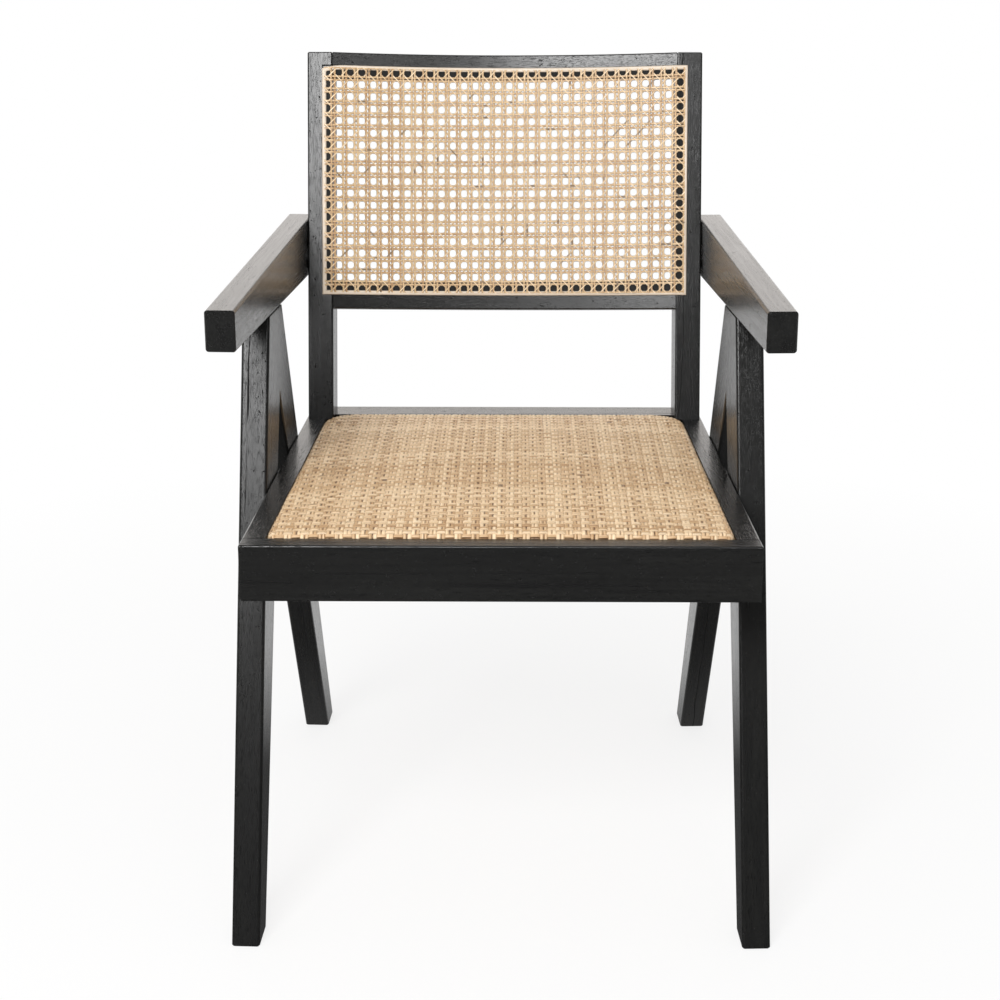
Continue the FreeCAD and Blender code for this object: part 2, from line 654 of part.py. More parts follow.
def arc_band(sketch, front, back, end=None):
    """Plan of a strip that follows the hollow of the back.

    The strip lies between two offsets from the front of the posts. It ends against the posts,
    or runs straight on over them to the given end.
    """
    half, radius = value(POST_INNER), value(BACK_RADIUS)
    lean = math.asin(half / radius)
    drop = math.sqrt(radius ** 2 - half ** 2)
    lines = []
    for offset in (front, back):
        bound = POST_INNER if end else post_inner(offset)
        centre = Vector(0, value(offset) - drop, 0)
        circle = Part.Circle(centre, UP, radius)
        arc = sketch.addGeometry(Part.ArcOfCircle(circle, math.pi / 2 - lean, math.pi / 2 + lean), False)
        fix_point(sketch, arc, 1, bound, offset)
        fix_point(sketch, arc, 2, f"-{bound}", offset)
        index = sketch.addConstraint(Sketcher.Constraint("Radius", arc, radius))
        sketch.setExpression(f"Constraints[{index}]", BACK_RADIUS)
        ends = [(arc, 1), (arc, 2)]
        if end:
            for number, way in enumerate((1, -1)):
                inner = Vector(way * half, value(offset), 0)
                outer = Vector(way * value(end), value(offset), 0)
                line = sketch.addGeometry(Part.LineSegment(inner, outer), False)
                sketch.addConstraint(Sketcher.Constraint("Coincident", arc, number + 1, line, 1))
                fix_point(sketch, line, 2, f"{way} * {end}", offset)
                ends[number] = (line, 2)
        lines.append(ends)
    for number, way in enumerate((1, -1)):
        near = Vector(way * value(end or post_inner(front)), value(front), 0)
        far = Vector(way * value(end or post_inner(back)), value(back), 0)
        line = sketch.addGeometry(Part.LineSegment(near, far), False)
        sketch.addConstraint(Sketcher.Constraint("Coincident", *lines[0][number], line, 1))
        sketch.addConstraint(Sketcher.Constraint("Coincident", *lines[1][number], line, 2))
    return sketch


def back_post(label, side):
    """Raked post: foot cut to the seat, sides along the armrest, groove for the spline."""
    body = new_body(label, BACK_PLACE)
    sketch = new_sketch(body, f"{label}_plan", "XY_Plane")
    taper = f"({BACK_HALF} - {TAN_TOE} * Sizes.post_depth)"
    corners = [
        (f"{side} * {POST_INNER}", "0"),
        (f"{side} * {BACK_HALF}", "0"),
        (f"{side} * {taper}", S("post_depth")),
        (f"{side} * {post_inner(S('post_depth'))}", S("post_depth")),
    ]
    solid = pad(body, polygon(sketch, corners), S("post_height"))
    arris = round_edges(
        body, solid, S("rail_arris"), lambda edge: edge.Length > value(S("post_height")) - 1e-3
    )
    bevel_edges(body, arris, S("end_bevel"), lies_at("Z", S("post_height")))
    rise = "(Sizes.post_depth * tan(Sizes.back_rake - Sizes.seat_slope))"
    cut = new_sketch(body, f"{label}_foot", "YZ_Plane")
    wedge = [
        ("0", "0"),
        ("2 * Sizes.post_depth", f"2 * {rise}"),
        ("2 * Sizes.post_depth", f"-{rise}"),
    ]
    trim = body.newObject("PartDesign::Pocket", f"{label}_foot_cut")
    trim.Profile = polygon(cut, wedge)
    trim.SideType = "Symmetric"
    trim.setExpression("Length", f"4 * {BACK_HALF}")
    doc.recompute()
    size, place = POST_TENON, post_tenon_place(side)
    longer = (size[0], size[1], f"{size[2]} + {rise}")
    tenon(body, f"{label}_tenon", longer, place)
    for name, (rail_rise, rail_height) in BACK_RAILS.items():
        place = back_tenon_place(side, rail_rise, rail_height)
        mortise(body, f"{label}_mortise_{name}", BACK_TENON, place)
    groove(body, label, side)
    for number, local in enumerate(dowel_places(side)):
        place = seen_from(BACK_PLACE, side_place(side), local)
        start = place * Placement(Vector(0, 0, -value(S("bore_gap"))), Rotation())
        bore(body, f"{label}_dowel_hole_{number}", S("dowel_radius"), S("dowel_length"), start)
    return body


def groove(body, label, side):
    """Spline groove in the front of a post: up the post, and in from the rails at both ends."""
    gap = value(S("joint_gap"))
    outer, inner, face = value(SPLINE_OUTER), value(SPLINE_INNER), value(POST_INNER)
    low, high = value(SPLINE_LOW), value(SPLINE_HIGH)
    width = "(Sizes.spline_width + 2 * Sizes.joint_gap)"
    upright = (width, f"2 * {S('groove_depth')}", f"({SPLINE_HIGH} - {SPLINE_LOW} + 2 * Sizes.joint_gap)")
    start = inner - gap if side > 0 else -outer - gap
    depth = value(S("groove_depth"))
    place = Placement(Vector(start, -depth, low - gap), Rotation())
    block(body, "Subtractive", f"{label}_groove", upright, place)
    across = (f"({SPLINE_OUTER} - {POST_INNER} + Sizes.spline_width)", f"2 * {S('groove_depth')}", width)
    start = face - value(S("spline_width")) if side > 0 else -outer
    for name, foot in (("low", low), ("top", high - value(S("spline_width")))):
        place = Placement(Vector(start, -depth, foot - gap), Rotation())
        block(body, "Subtractive", f"{label}_groove_{name}", across, place)


def back_rail(which, groove_rise):
    """Curved back rail, with tenons and the spline groove along its front."""
    label = f"back_rail_{which}"
    rail_rise, rail_height = BACK_RAILS[which]
    body = new_body(label, BACK_PLACE)
    sketch = arc_band(new_sketch(body, f"{label}_plan", "XY_Plane", rail_rise), "0", S("back_rail_thick"))
    solid = pad(body, sketch, rail_height)
    bevel_edges(body, solid, S("back_bevel"), lambda edge: edge.Length > value(POST_INNER))
    channel = new_sketch(body, f"{label}_groove_plan", "XY_Plane", f"{groove_rise} - Sizes.joint_gap")
    arc_band(channel, f"-{S('groove_depth')}", S("groove_depth"))
    cut = body.newObject("PartDesign::Pocket", f"{label}_groove")
    cut.Profile = channel
    cut.setExpression("Length", "Sizes.spline_width + 2 * Sizes.joint_gap")
    cut.Reversed = True
    doc.recompute()
    for name, side in SIDES.items():
        place = back_tenon_place(side, rail_rise, rail_height)
        tenon(body, f"{label}_tenon_{name}", BACK_TENON, place)
    return body


def cross_spline(label, rise):
    """Reed spline along a back rail, running on over the posts."""
    body = new_body(label, BACK_PLACE)
    sketch = new_sketch(body, f"{label}_plan", "XY_Plane", rise)
    foot = "(Sizes.groove_depth - Sizes.joint_gap)"
    pad(body, arc_band(sketch, f"-{S('spline_proud')}", foot, SPLINE_OUTER), S("spline_width"))
    return body


def upright_spline(label, side):
    """Reed spline up a post, between the two cross splines."""
    body = new_body(label, BACK_PLACE)
    low, high = f"({SPLINE_LOW} + Sizes.spline_width)", f"({SPLINE_HIGH} - Sizes.spline_width)"
    foot = "(Sizes.groove_depth - Sizes.joint_gap)"
    corners = [
        (f"{side} * {SPLINE_INNER}", f"-{S('spline_proud')}"),
        (f"{side} * {SPLINE_OUTER}", f"-{S('spline_proud')}"),
        (f"{side} * {SPLINE_OUTER}", foot),
        (f"{side} * {SPLINE_INNER}", foot),
    ]
    sketch = polygon(new_sketch(body, f"{label}_plan", "XY_Plane", low), corners)
    pad(body, sketch, f"{high} - {low}")
    return body


def cane_panel():
    """Open cane sheet, bent to the hollow of the back, with a grid of openings.

    The sheet is flat between neighbouring columns of strands, and over the posts.
    """
    half, radius = value(POST_INNER), value(BACK_RADIUS)
    gap, thick = value(S("joint_gap")), value(S("cane_thick"))
    end = value(f"{SPLINE_INNER} - Sizes.joint_gap")
    low = value(f"{SPLINE_LOW} + Sizes.spline_width + Sizes.joint_gap")
    high = value(f"{SPLINE_HIGH} - Sizes.spline_width - Sizes.joint_gap")
    sag = value(S("back_sag"))
    columns, rows = round(value(S("cane_columns"))), round(value(S("cane_rows")))
    strand = value(S("cane_strand"))
    pitch_x, pitch_z = 2 * end / columns, (high - low) / rows
    width, height = pitch_x - strand, pitch_z - strand
    front, back = -gap - thick, -gap

    def hollow(across):
        """Depth of the hollow at a distance from the middle."""
        return math.sqrt(radius ** 2 - min(abs(across), half) ** 2) - math.sqrt(radius ** 2 - half ** 2)

    bends = sorted([-end + column * pitch_x for column in range(columns + 1)] + [-half, half])
    outline = [Vector(x, front + hollow(x), low) for x in bends]
    outline += [Vector(x, back + hollow(x), low) for x in reversed(bends)]
    panel = Part.Face(Part.makePolygon(outline + outline[:1])).extrude(Vector(0, 0, high - low))
    openings = []
    for column in range(columns):
        for row in range(rows):
            left = -end + (column + 0.5) * pitch_x - width / 2
            foot = low + (row + 0.5) * pitch_z - height / 2
            corner = Vector(left, front - 1, foot)
            openings.append(Part.makeBox(width, sag + thick + gap + 2, height, corner))
    panel = panel.cut(Part.makeCompound(openings))
    return new_shape("cane_panel", panel.Solids[0], BACK_PLACE)


# Seat: board, pad and woven cover

def seat_outline(inset, low, high):
    """Upright prism of the seat's plan, inset from the rails, with rounded corners."""
    front = value(S("front_rail_thick")) + inset
    rear = value(REAR_RAIL_FRONT) - inset
    slant = inset / value(COS_TOE)
    front_half = value(rail_inner(str(front))) - slant
    rear_half = value(rail_inner(str(rear))) - slant
    corners = [
        Vector(-front_half, front, low),
        Vector(front_half, front, low),
        Vector(rear_half, rear, low),
        Vector(-rear_half, rear, low),
    ]
    prism = Part.Face(Part.makePolygon(corners + corners[:1])).extrude(Vector(0, 0, high - low))
    radii = {True: value(S("front_corner")) - inset, False: value(S("rear_corner")) - inset}
    for at_front, radius in radii.items():
        edges = [
            edge for edge in prism.Edges
            if abs(edge.Vertexes[0].X - edge.Vertexes[1].X) < 1e-6 and edge.Length > high - low - 1e-6
            and abs(edge.Vertexes[0].Z - edge.Vertexes[1].Z) > 1e-6
            and (edge.Vertexes[0].Y < (front + rear) / 2) == at_front
        ]
        prism = prism.makeFillet(radius, edges)
    return prism


def crowned(inset, low, lowered):
    """Seat form with a crowned top, inset from the rails."""
    front, rear = value(S("front_rail_thick")), value(REAR_RAIL_FRONT)
    edge = value(S("edge_rise")) - lowered
    crown, end = value(S("seat_crown")), value(S("end_crown"))
    spans = [(front, end), ((front + rear) / 2, crown), (rear, end)]
    sections = []
    for along, rise in spans:
        half = value(rail_inner(str(along)))
        left, right = Vector(-half, along, edge), Vector(half, along, edge)
        foot_left, foot_right = Vector(-half, along, low - 1), Vector(half, along, low - 1)
        sections.append(Part.Wire([
            Part.LineSegment(foot_left, foot_right).toShape(),
            Part.LineSegment(foot_right, right).toShape(),
            Part.Arc(right, Vector(0, along, edge + rise), left).toShape(),
            Part.LineSegment(left, foot_left).toShape(),
        ]))
    form = Part.makeLoft(sections, True)
    top = edge + crown + 1
    return form.common(seat_outline(inset, low, top)).Solids[0]


def turned_down(form):
    """Seat form with its top edge turned down to the rails."""
    low = value("Sizes.edge_rise - Sizes.seat_roll")
    rim = [item for item in form.Edges if all(vertex.Z > low for vertex in item.Vertexes)]
    return form.makeChamfer(value(S("seat_roll")), rim)


def seat():
    """Seat board, foam pad and woven cover, from the board up."""
    gap, thick = value(S("seat_gap")), value(S("weave_thick"))
    under, top = value(BOARD_UNDER), value(BOARD_TOP)
    inner = gap + thick
    clear = value(S("joint_gap"))
    board = seat_outline(inner + clear, under, top)
    new_shape("seat_board", board, SEAT_PLACE)
    new_shape("seat_pad", crowned(inner + clear, top, thick + clear), SEAT_PLACE)
    cover = turned_down(crowned(gap, under, 0)).cut(crowned(inner, under, thick))
    new_shape("seat_weave", cover.Solids[0], SEAT_PLACE)


# Loose tenons, dowels and bolts, each kind one group of separate solids

def placed(shape, place):
    """Copy of a shape at a place."""
    copy = shape.copy()
    copy.Placement = place
    return copy


def fasteners():
    """All groups of hidden fasteners."""
    tenon_block = Part.makeBox(*(value(length) for length in SEAM_TENON))
    seams = [placed(tenon_block, side_place(side) * seam_tenon_place()) for side in SIDES.values()]
    new_shape("leg_seam_tenons", Part.makeCompound(seams), Placement())

    dowel = Part.makeCylinder(value(S("dowel_radius")), value(S("dowel_length")))
    dowels = [
        placed(dowel, side_place(side) * local) for side in SIDES.values() for local in dowel_places(side)
    ]
    new_shape("arm_post_dowels", Part.makeCompound(dowels), Placement())

    bolt = hexagon_bolt(
        value(S("bolt_radius")),
        value("Sizes.side_rail_thick + Sizes.joint_gap + Sizes.bolt_reach"),
        value(S("bolt_head_width")),
        value(S("bolt_head_height")),
    )
    bolts = [
        placed(bolt, side_place(side) * local) for side in SIDES.values() for local in bolt_places(side)
    ]
    new_shape("leg_bolts", Part.makeCompound(bolts), Placement())


# The whole chair

for side_name, side_sign in SIDES.items():
    leg(f"front_leg_{side_name}", side_sign, FRONT_LEG, -1)
    leg(f"rear_leg_{side_name}", side_sign, REAR_LEG, 1)
    armrest(f"armrest_{side_name}", side_sign)
    side_rail(f"seat_rail_{side_name}", side_sign)
    back_post(f"back_post_{side_name}", side_sign)
    upright_spline(f"cane_spline_{side_name}", side_sign)
    corner_block(f"corner_block_front_{side_name}", side_sign, False)
    corner_block(f"corner_block_rear_{side_name}", side_sign, True)
front_rail()
rear_rail()
back_rail("top", f"({SPLINE_HIGH} - Sizes.spline_width)")
back_rail("bottom", SPLINE_LOW)
cross_spline("cane_spline_top", f"({SPLINE_HIGH} - Sizes.spline_width)")
cross_spline("cane_spline_bottom", SPLINE_LOW)
cane_panel()
seat()
fasteners()
doc.recompute()

for item in doc.Objects:
    if "Invalid" in item.State or "Error" in item.State:
        raise RuntimeError(f"{item.Label} failed: {item.State}")
for piece in pieces:
    if piece.Shape.isNull() or not piece.Shape.isValid():
        raise RuntimeError(f"{piece.Label} has no valid shape")

os.makedirs("parts", exist_ok=True)
for piece in pieces:
    piece.Shape.exportStep(f"parts/{piece.Label}.step")
    print(f"{piece.Label}: {len(piece.Shape.Solids)} solid(s), {piece.Shape.Volume / 1000:.1f} cm3")
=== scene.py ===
"""Looks of the cane-back dining armchair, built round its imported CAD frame."""

from __future__ import annotations

import logging
import math
from contextlib import contextmanager
from dataclasses import dataclass
from enum import Enum
from typing import Any, Callable, Iterable, Iterator

import bmesh
import bpy
import numpy as np
from bpy.types import Material, Node, NodeSocket, NodeTree, Object
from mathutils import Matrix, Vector

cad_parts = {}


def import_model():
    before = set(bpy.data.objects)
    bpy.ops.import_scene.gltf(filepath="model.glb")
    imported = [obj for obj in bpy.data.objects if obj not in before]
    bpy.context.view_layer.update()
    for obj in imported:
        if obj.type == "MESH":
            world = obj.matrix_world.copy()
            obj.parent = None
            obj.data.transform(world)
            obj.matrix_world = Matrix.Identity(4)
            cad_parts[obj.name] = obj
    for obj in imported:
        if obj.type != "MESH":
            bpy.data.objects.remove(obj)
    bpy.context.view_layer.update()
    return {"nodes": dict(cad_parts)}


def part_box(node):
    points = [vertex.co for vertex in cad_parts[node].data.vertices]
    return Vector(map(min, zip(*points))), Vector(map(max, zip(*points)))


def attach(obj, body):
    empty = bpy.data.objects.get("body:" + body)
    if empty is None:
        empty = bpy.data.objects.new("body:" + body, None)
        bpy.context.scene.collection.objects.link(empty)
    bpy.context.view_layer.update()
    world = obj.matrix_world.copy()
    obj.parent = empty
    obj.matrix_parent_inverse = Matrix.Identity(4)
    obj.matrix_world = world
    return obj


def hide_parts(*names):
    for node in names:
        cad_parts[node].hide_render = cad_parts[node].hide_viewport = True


LOG = logging.getLogger("armchair")
BODY = "root"
SIDES = {"left": -1, "right": 1}
Spot = tuple[float, float, float]
ORIGIN = (0, 0, 0)
# One millimetre in Blender's metres
MM = 0.001
# An edge shorter than this, in metres, counts as having no length
NO_LENGTH = 1e-5
# Keeps a division away from zero
TINY = 1e-9
# Spreads neighbouring strands' numbers far apart, so that their tones look unrelated
SCATTER = 43758.5453
# Foot of the back's own frame, in depth and height, and how far it leans back, in degrees
BACK_FOOT = (146.93, 425.83)
BACK_RAKE = 15.05
# How far the seat drops towards the back, in degrees
SEAT_SLOPE = 1.0
# Inputs that the four numbers of a sweep go to
SWEEP = ("From Min", "From Max", "To Min", "To Max")


# Modelling helpers

def linear(code: str) -> tuple[float, ...]:
    """Turn an sRGB hex value into a linear colour.

    Args:
        code: colour as "#rrggbb".

    Returns:
        Red, green, blue and an alpha of one.
    """
    parts = [int(code[place:place + 2], 16) / 255 for place in (1, 3, 5)]
    return tuple(c / 12.92 if c <= 0.04045 else ((c + 0.055) / 1.055) ** 2.4 for c in parts) + (1.0,)


def alone(piece: Object) -> None:
    """Select one piece and make it active.

    Args:
        piece: object to select.
    """
    bpy.ops.object.select_all(action="DESELECT")
    piece.select_set(True)
    bpy.context.view_layer.objects.active = piece


def start(name: str, primitive: Callable[..., Any], **settings: Any) -> Object:
    """Add the primitive that a piece is shaped from.

    Args:
        name: name of the piece.
        primitive: Blender's operator that adds it.
        settings: the operator's own values.

    Returns:
        The new piece.
    """
    bpy.ops.object.select_all(action="DESELECT")
    primitive(**settings)
    piece = bpy.context.object
    piece.name = piece.data.name = name
    return piece


@contextmanager
def editing(piece: Object) -> Iterator[bmesh.types.BMesh]:
    """Open one piece in edit mode.

    Args:
        piece: mesh object to edit.

    Returns:
        Its edit mesh, for picking by place.
    """
    alone(piece)
    bpy.ops.object.mode_set(mode="EDIT")
    bpy.ops.mesh.select_mode(type="VERT")
    yield bmesh.from_edit_mesh(piece.data)
    bpy.ops.object.mode_set(mode="OBJECT")


def pick(mesh: bmesh.types.BMesh, kind: str, test: Callable[[Any], bool]) -> None:
    """Select the edges or faces that a test picks, and nothing else.

    Args:
        mesh: edit mesh.
        kind: "EDGE" or "FACE".
        test: says of one edge or face whether it is wanted.
    """
    bpy.ops.mesh.select_all(action="DESELECT")
    bpy.ops.mesh.select_mode(type=kind)
    for item in mesh.edges if kind == "EDGE" else mesh.faces:
        if test(item):
            item.select_set(True)
    mesh.select_flush_mode()


def cut_off(piece: Object, planes: Iterable[tuple[Spot, Spot]]) -> None:
    """Cut away what lies beyond planes, and close the cuts.

    Args:
        piece: mesh object.
        planes: for each cut, a point on its plane and the direction of what goes.
    """
    with editing(piece):
        for point, outward in planes:
            bpy.ops.mesh.select_all(action="SELECT")
            bpy.ops.mesh.bisect(plane_co=point, plane_no=outward, use_fill=True, clear_outer=True)


def modify(piece: Object, kind: str, **settings: Any) -> None:
    """Add a modifier to a piece and apply it.

    Args:
        piece: mesh object.
        kind: Blender's name of the modifier type.
        settings: the modifier's own values.
    """
    alone(piece)
    modifier = piece.modifiers.new(kind.lower(), kind)
    for name, setting in settings.items():
        setattr(modifier, name, setting)
    bpy.ops.object.modifier_apply(modifier=modifier.name)


def repeat(piece: Object, count: int, step: Spot) -> None:
    """Repeat a piece in a straight row, as one mesh."""
    modify(piece, "ARRAY", count=count, use_relative_offset=False, use_constant_offset=True,
           constant_offset_displace=step)


def points_of(piece: Object) -> np.ndarray:
    """Read a piece's vertices.

    Args:
        piece: mesh object.

    Returns:
        Rows of three numbers, in metres.
    """
    flat = np.empty(len(piece.data.vertices) * 3)
    piece.data.vertices.foreach_get("co", flat)
    return flat.reshape(-1, 3)


def move_points(piece: Object, points: np.ndarray) -> None:
    """Write a piece's vertices back, as rows of three numbers in metres."""
    piece.data.vertices.foreach_set("co", np.ascontiguousarray(points).ravel())
    piece.data.update()


def settle(piece: Object, finish: Material, crease: float) -> Object:
    """Finish a new piece: smooth shading, material, slot and the body that it rides on.

    Args:
        piece: mesh object, with its place in its mesh.
        finish: its material.
        crease: edges sharper than this, in degrees, stay sharp.

    Returns:
        The same piece.
    """
    alone(piece)
    bpy.ops.object.shade_smooth_by_angle(angle=math.radians(crease))
    piece.data.materials.clear()
    piece.data.materials.append(finish)
    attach(piece, BODY)
    LOG.info("%s: %d faces, %s", piece.name, len(piece.data.polygons), finish.name)
    return piece


def coat(piece: Object, finish: Material) -> None:
    """Give a CAD piece its finish."""
    piece.material_slots[0].material = finish
    LOG.info("%s: %s", piece.name, finish.name)


def strand(name: str, size: Spot, crown: float, cuts: tuple[int, int]) -> Object:
    """Model one flat strand along Y, its upper face narrowed, in short lengths that can bend.

    Args:
        name: name of the piece.
        size: width, length and thickness in millimetres.
        crown: width of the upper face, as a share of the lower one.
        cuts: into how many lengths each step divides what the step before left.

    Returns:
        The strand, centred on the origin.
    """
    piece = start(name, bpy.ops.mesh.primitive_cube_add, size=1.0)
    with editing(piece) as mesh:
        bpy.ops.mesh.select_all(action="SELECT")
        bpy.ops.transform.resize(value=[side * MM for side in size], center_override=ORIGIN)
        pick(mesh, "FACE", lambda face: face.normal.z > 0.5)
        bpy.ops.transform.resize(value=(crown, 1, 1), center_override=ORIGIN)
        for count in cuts:
            mesh = bmesh.from_edit_mesh(piece.data)
            pick(mesh, "EDGE", lambda edge: abs(edge.verts[0].co.y - edge.verts[1].co.y) > NO_LENGTH)
            bpy.ops.mesh.subdivide(number_cuts=count - 1)
    return piece


def scatter(number: np.ndarray, step: float, first: float) -> np.ndarray:
    """Give each strand's number a tone from 0 to 1 that looks unrelated to its neighbours'."""
    return np.modf(np.abs(np.sin(number * step + first) * SCATTER))[0]


def mark_strands(piece: Object, across: np.ndarray, along: np.ndarray, **values: np.ndarray) -> None:
    """Give strands a UV map that follows them and values of their own.

    Args:
        piece: mesh of many strands.
        across: place of each vertex across its strand, from 0 to 1.
        along: place of each vertex along its strand, in metres.
        values: by name, a number for each vertex.
    """
    data = piece.data
    corner = np.empty(len(data.loops), dtype=np.int32)
    data.loops.foreach_get("vertex_index", corner)
    layer = data.uv_layers.new(name="strand")
    pairs = np.column_stack((along[corner], across[corner])).astype(np.float32)
    layer.data.foreach_set("uv", pairs.ravel())
    data.uv_layers.active = layer
    for name, numbers in values.items():
        data.attributes.new(name, "FLOAT", "POINT").data.foreach_set("value", numbers.astype(np.float32))


# Finishes

def feed(tree: NodeTree, node: Node, inputs: dict[Any, Any]) -> None:
    """Set or link a node's inputs.

    Args:
        tree: node tree that holds the node.
        node: node to feed.
        inputs: by input name or number, a value, an output, or a node for its first output.
    """
    for name, source in inputs.items():
        source = source.outputs[0] if isinstance(source, Node) else source
        if isinstance(source, NodeSocket):
            tree.links.new(source, node.inputs[name])
        else:
            node.inputs[name].default_value = source


def add(tree: NodeTree, kind: str, inputs: dict[Any, Any] | None = None, **settings: Any) -> Node:
    """Add a shader node with its settings and links.

    Args:
        tree: node tree that gets the node.
        kind: Blender's name of the node, without its prefix.
        inputs: what feeds it, by input name or number.
        settings: the node's own options, or stops, the places and colours of a colour ramp.

    Returns:
        The new node.
    """
    node = tree.nodes.new(f"ShaderNode{kind}")
    stops = settings.pop("stops", ())
    for name, setting in settings.items():
        setattr(node, name, setting)
    for number, (place, shade) in enumerate(stops):
        ramp = node.color_ramp.elements
        element = ramp[number] if number < len(ramp) else ramp.new(place)
        element.position = place
        element.color = linear(shade) if isinstance(shade, str) else (shade, shade, shade, 1.0)
    feed(tree, node, inputs or {})
    return node


def blank(name: str, inputs: dict[str, Any]) -> tuple[Material, NodeTree, Node]:
    """Start a material.

    Args:
        name: name of the material.
        inputs: values that are the same all over, by socket of the shader.

    Returns:
        The material, its node tree and its shader node.
    """
    material = bpy.data.materials.new(name)
    material.use_nodes = True
    tree = material.node_tree
    shader = tree.nodes["Principled BSDF"]
    feed(tree, shader, inputs)
    return material, tree, shader


@dataclass(frozen=True)
class SolidWood:
    """A sawn and sanded wood with its grain along the piece.

    Long streaks of tone, fine open pores that catch the light as short dark dashes, here and
    there a pit or a season check, and a finish whose gloss changes a little with the grain.
    Each pattern has a length along the grain and a width across it, in millimetres. A share is
    the level of the noise at which a pattern starts.
    """

    name: str
    dark: str
    light: str
    pore: str
    roughness: float
    ior: float = 1.5
    gloss_range: float = 0.05
    fault_roughness: float = 0.9
    bare_roughness: float = 0.8
    streak: tuple[float, float] = (150.0, 3.2)
    figure: tuple[float, float] = (420.0, 26.0)
    # Real pores are finer, and are drawn this coarse so that they show
    pores: tuple[float, float] = (11.0, 0.55)
    pits: tuple[float, float] = (4.2, 2.4)
    checks: tuple[float, float] = (240.0, 38.0)
    noise_detail: float = 2.5
    noise_roughness: float = 0.6
    figure_share: float = 0.45
    tone_range: tuple[float, float] = (0.30, 0.70)
    pore_range: tuple[float, float] = (0.36, 0.43)
    pit_share: float = 0.0
    pit_fade: float = 0.03
    check_side: Spot = (0.0, 0.8, 0.6)
    check_start: float = 1.0
    check_bend: float = 0.5
    check_width: float = 0.8
    check_core: float = 0.4
    check_share: float = 0.0
    check_fade: float = 0.04
    depth: float = 0.08
    fault_depth: float = 4.0
    relief: float = 0.6
    log_step: Spot = (0.37, 0.91, 0.53)

    def faults(self, tree: NodeTree, grain: Node, figure: Node, coarse: Node, ragged: Node) -> Node:
        """Add the mask of pits and season checks.

        Args:
            tree: node tree of the wood.
            grain: place in the log, in lengths and widths of a check.
            figure: noise of the figure, which keeps the checks to a few places.
            coarse: noise of the pits.
            ragged: noise that bends the checks.

        Returns:
            Node that gives one in a fault and zero elsewhere.
        """
        pits = add(tree, "MapRange", {
            "Value": coarse, "From Min": self.pit_share - self.pit_fade, "From Max": self.pit_share,
            "To Min": 1.0, "To Max": 0.0,
        })
        aside = add(tree, "VectorMath", {0: grain, 1: self.check_side}, operation="DOT_PRODUCT")
        shifted = add(tree, "Math", {0: aside.outputs["Value"], 1: self.check_start}, operation="ADD")
        bent = add(tree, "Math", {0: ragged, 1: self.check_bend, 2: shifted}, operation="MULTIPLY_ADD")
        near = add(tree, "Math", {0: bent, 1: 1.0}, operation="PINGPONG")
        half_width = self.check_width / self.checks[1] / 2
        split = add(tree, "MapRange", {
            "Value": near, "From Min": half_width * self.check_core, "From Max": half_width,
            "To Min": 1.0, "To Max": 0.0,
        })
        few = add(tree, "MapRange", {
            "Value": figure, "From Min": self.check_share, "From Max": self.check_share - self.check_fade,
            "To Min": 0.0, "To Max": 1.0,
        })
        checks = add(tree, "Math", {0: split, 1: few}, operation="MULTIPLY")
        return add(tree, "Math", {0: pits, 1: checks}, operation="MAXIMUM")

    def material(self, piece: str, axis: Vector, number: int,
                 bare: Callable[[NodeTree], NodeSocket] | None = None) -> Material:
        """Make the wood of one piece.

        Args:
            piece: name of the piece.
            axis: direction of its grain.
            number: sets where in the log the piece was cut.
            bare: adds the mask of a place that is left without lacquer.

        Returns:
            The material.
        """
        material, tree, shader = blank(f"{self.name}_{piece}", {"IOR": self.ior})
        place = add(tree, "TexCoord").outputs["Object"]
        turn = axis.to_track_quat("X", "Z").to_euler()
        cut = [step * number for step in self.log_step]
        grains, tones = [], []
        for long, wide in (self.streak, self.figure, self.pores, self.pits, self.checks):
            grains.append(add(tree, "Mapping", {
                "Vector": place, "Rotation": turn, "Location": cut,
                "Scale": (long * MM, wide * MM, wide * MM),
            }, vector_type="TEXTURE"))
            tones.append(add(tree, "TexNoise", {
                "Vector": grains[-1], "Scale": 1.0,
                "Detail": self.noise_detail, "Roughness": self.noise_roughness,
            }))
        streaks, figure, fine, coarse, ragged = tones
        mixed = add(tree, "Mix", {0: self.figure_share, 2: streaks, 3: figure}, data_type="FLOAT")
        low, high = self.tone_range
        body = add(tree, "ValToRGB", {"Fac": mixed}, stops=((low, self.dark), (high, self.light)))
        full, none = self.pore_range
        open_pores = add(tree, "ValToRGB", {"Fac": fine}, stops=((full, 1.0), (none, 0.0)))
        faults = self.faults(tree, grains[-1], figure, coarse, ragged)
        hollows = add(tree, "Math", {0: faults, 1: open_pores}, operation="MAXIMUM")
        colour = add(tree, "Mix", {0: hollows, 6: body, 7: linear(self.pore)}, data_type="RGBA")
        smooth = add(tree, "MapRange", {
            "Value": mixed, "From Min": low, "From Max": high,
            "To Min": self.roughness + self.gloss_range, "To Max": self.roughness - self.gloss_range,
        })
        gloss = add(tree, "Mix", {0: faults, 2: smooth, 3: self.fault_roughness}, data_type="FLOAT")
        if bare:
            gloss = add(tree, "Mix", {0: bare(tree), 2: gloss, 3: self.bare_roughness}, data_type="FLOAT")
        deep = add(tree, "Math", {0: faults, 1: self.fault_depth, 2: open_pores}, operation="MULTIPLY_ADD")
        height = add(tree, "Math", {0: mixed, 1: deep}, operation="SUBTRACT")
        bump = add(tree, "Bump", {"Strength": self.relief, "Distance": self.depth * MM, "Height": height})
        feed(tree, shader, {"Base Color": colour.outputs[2], "Roughness": gloss, "Normal": bump})
        return material


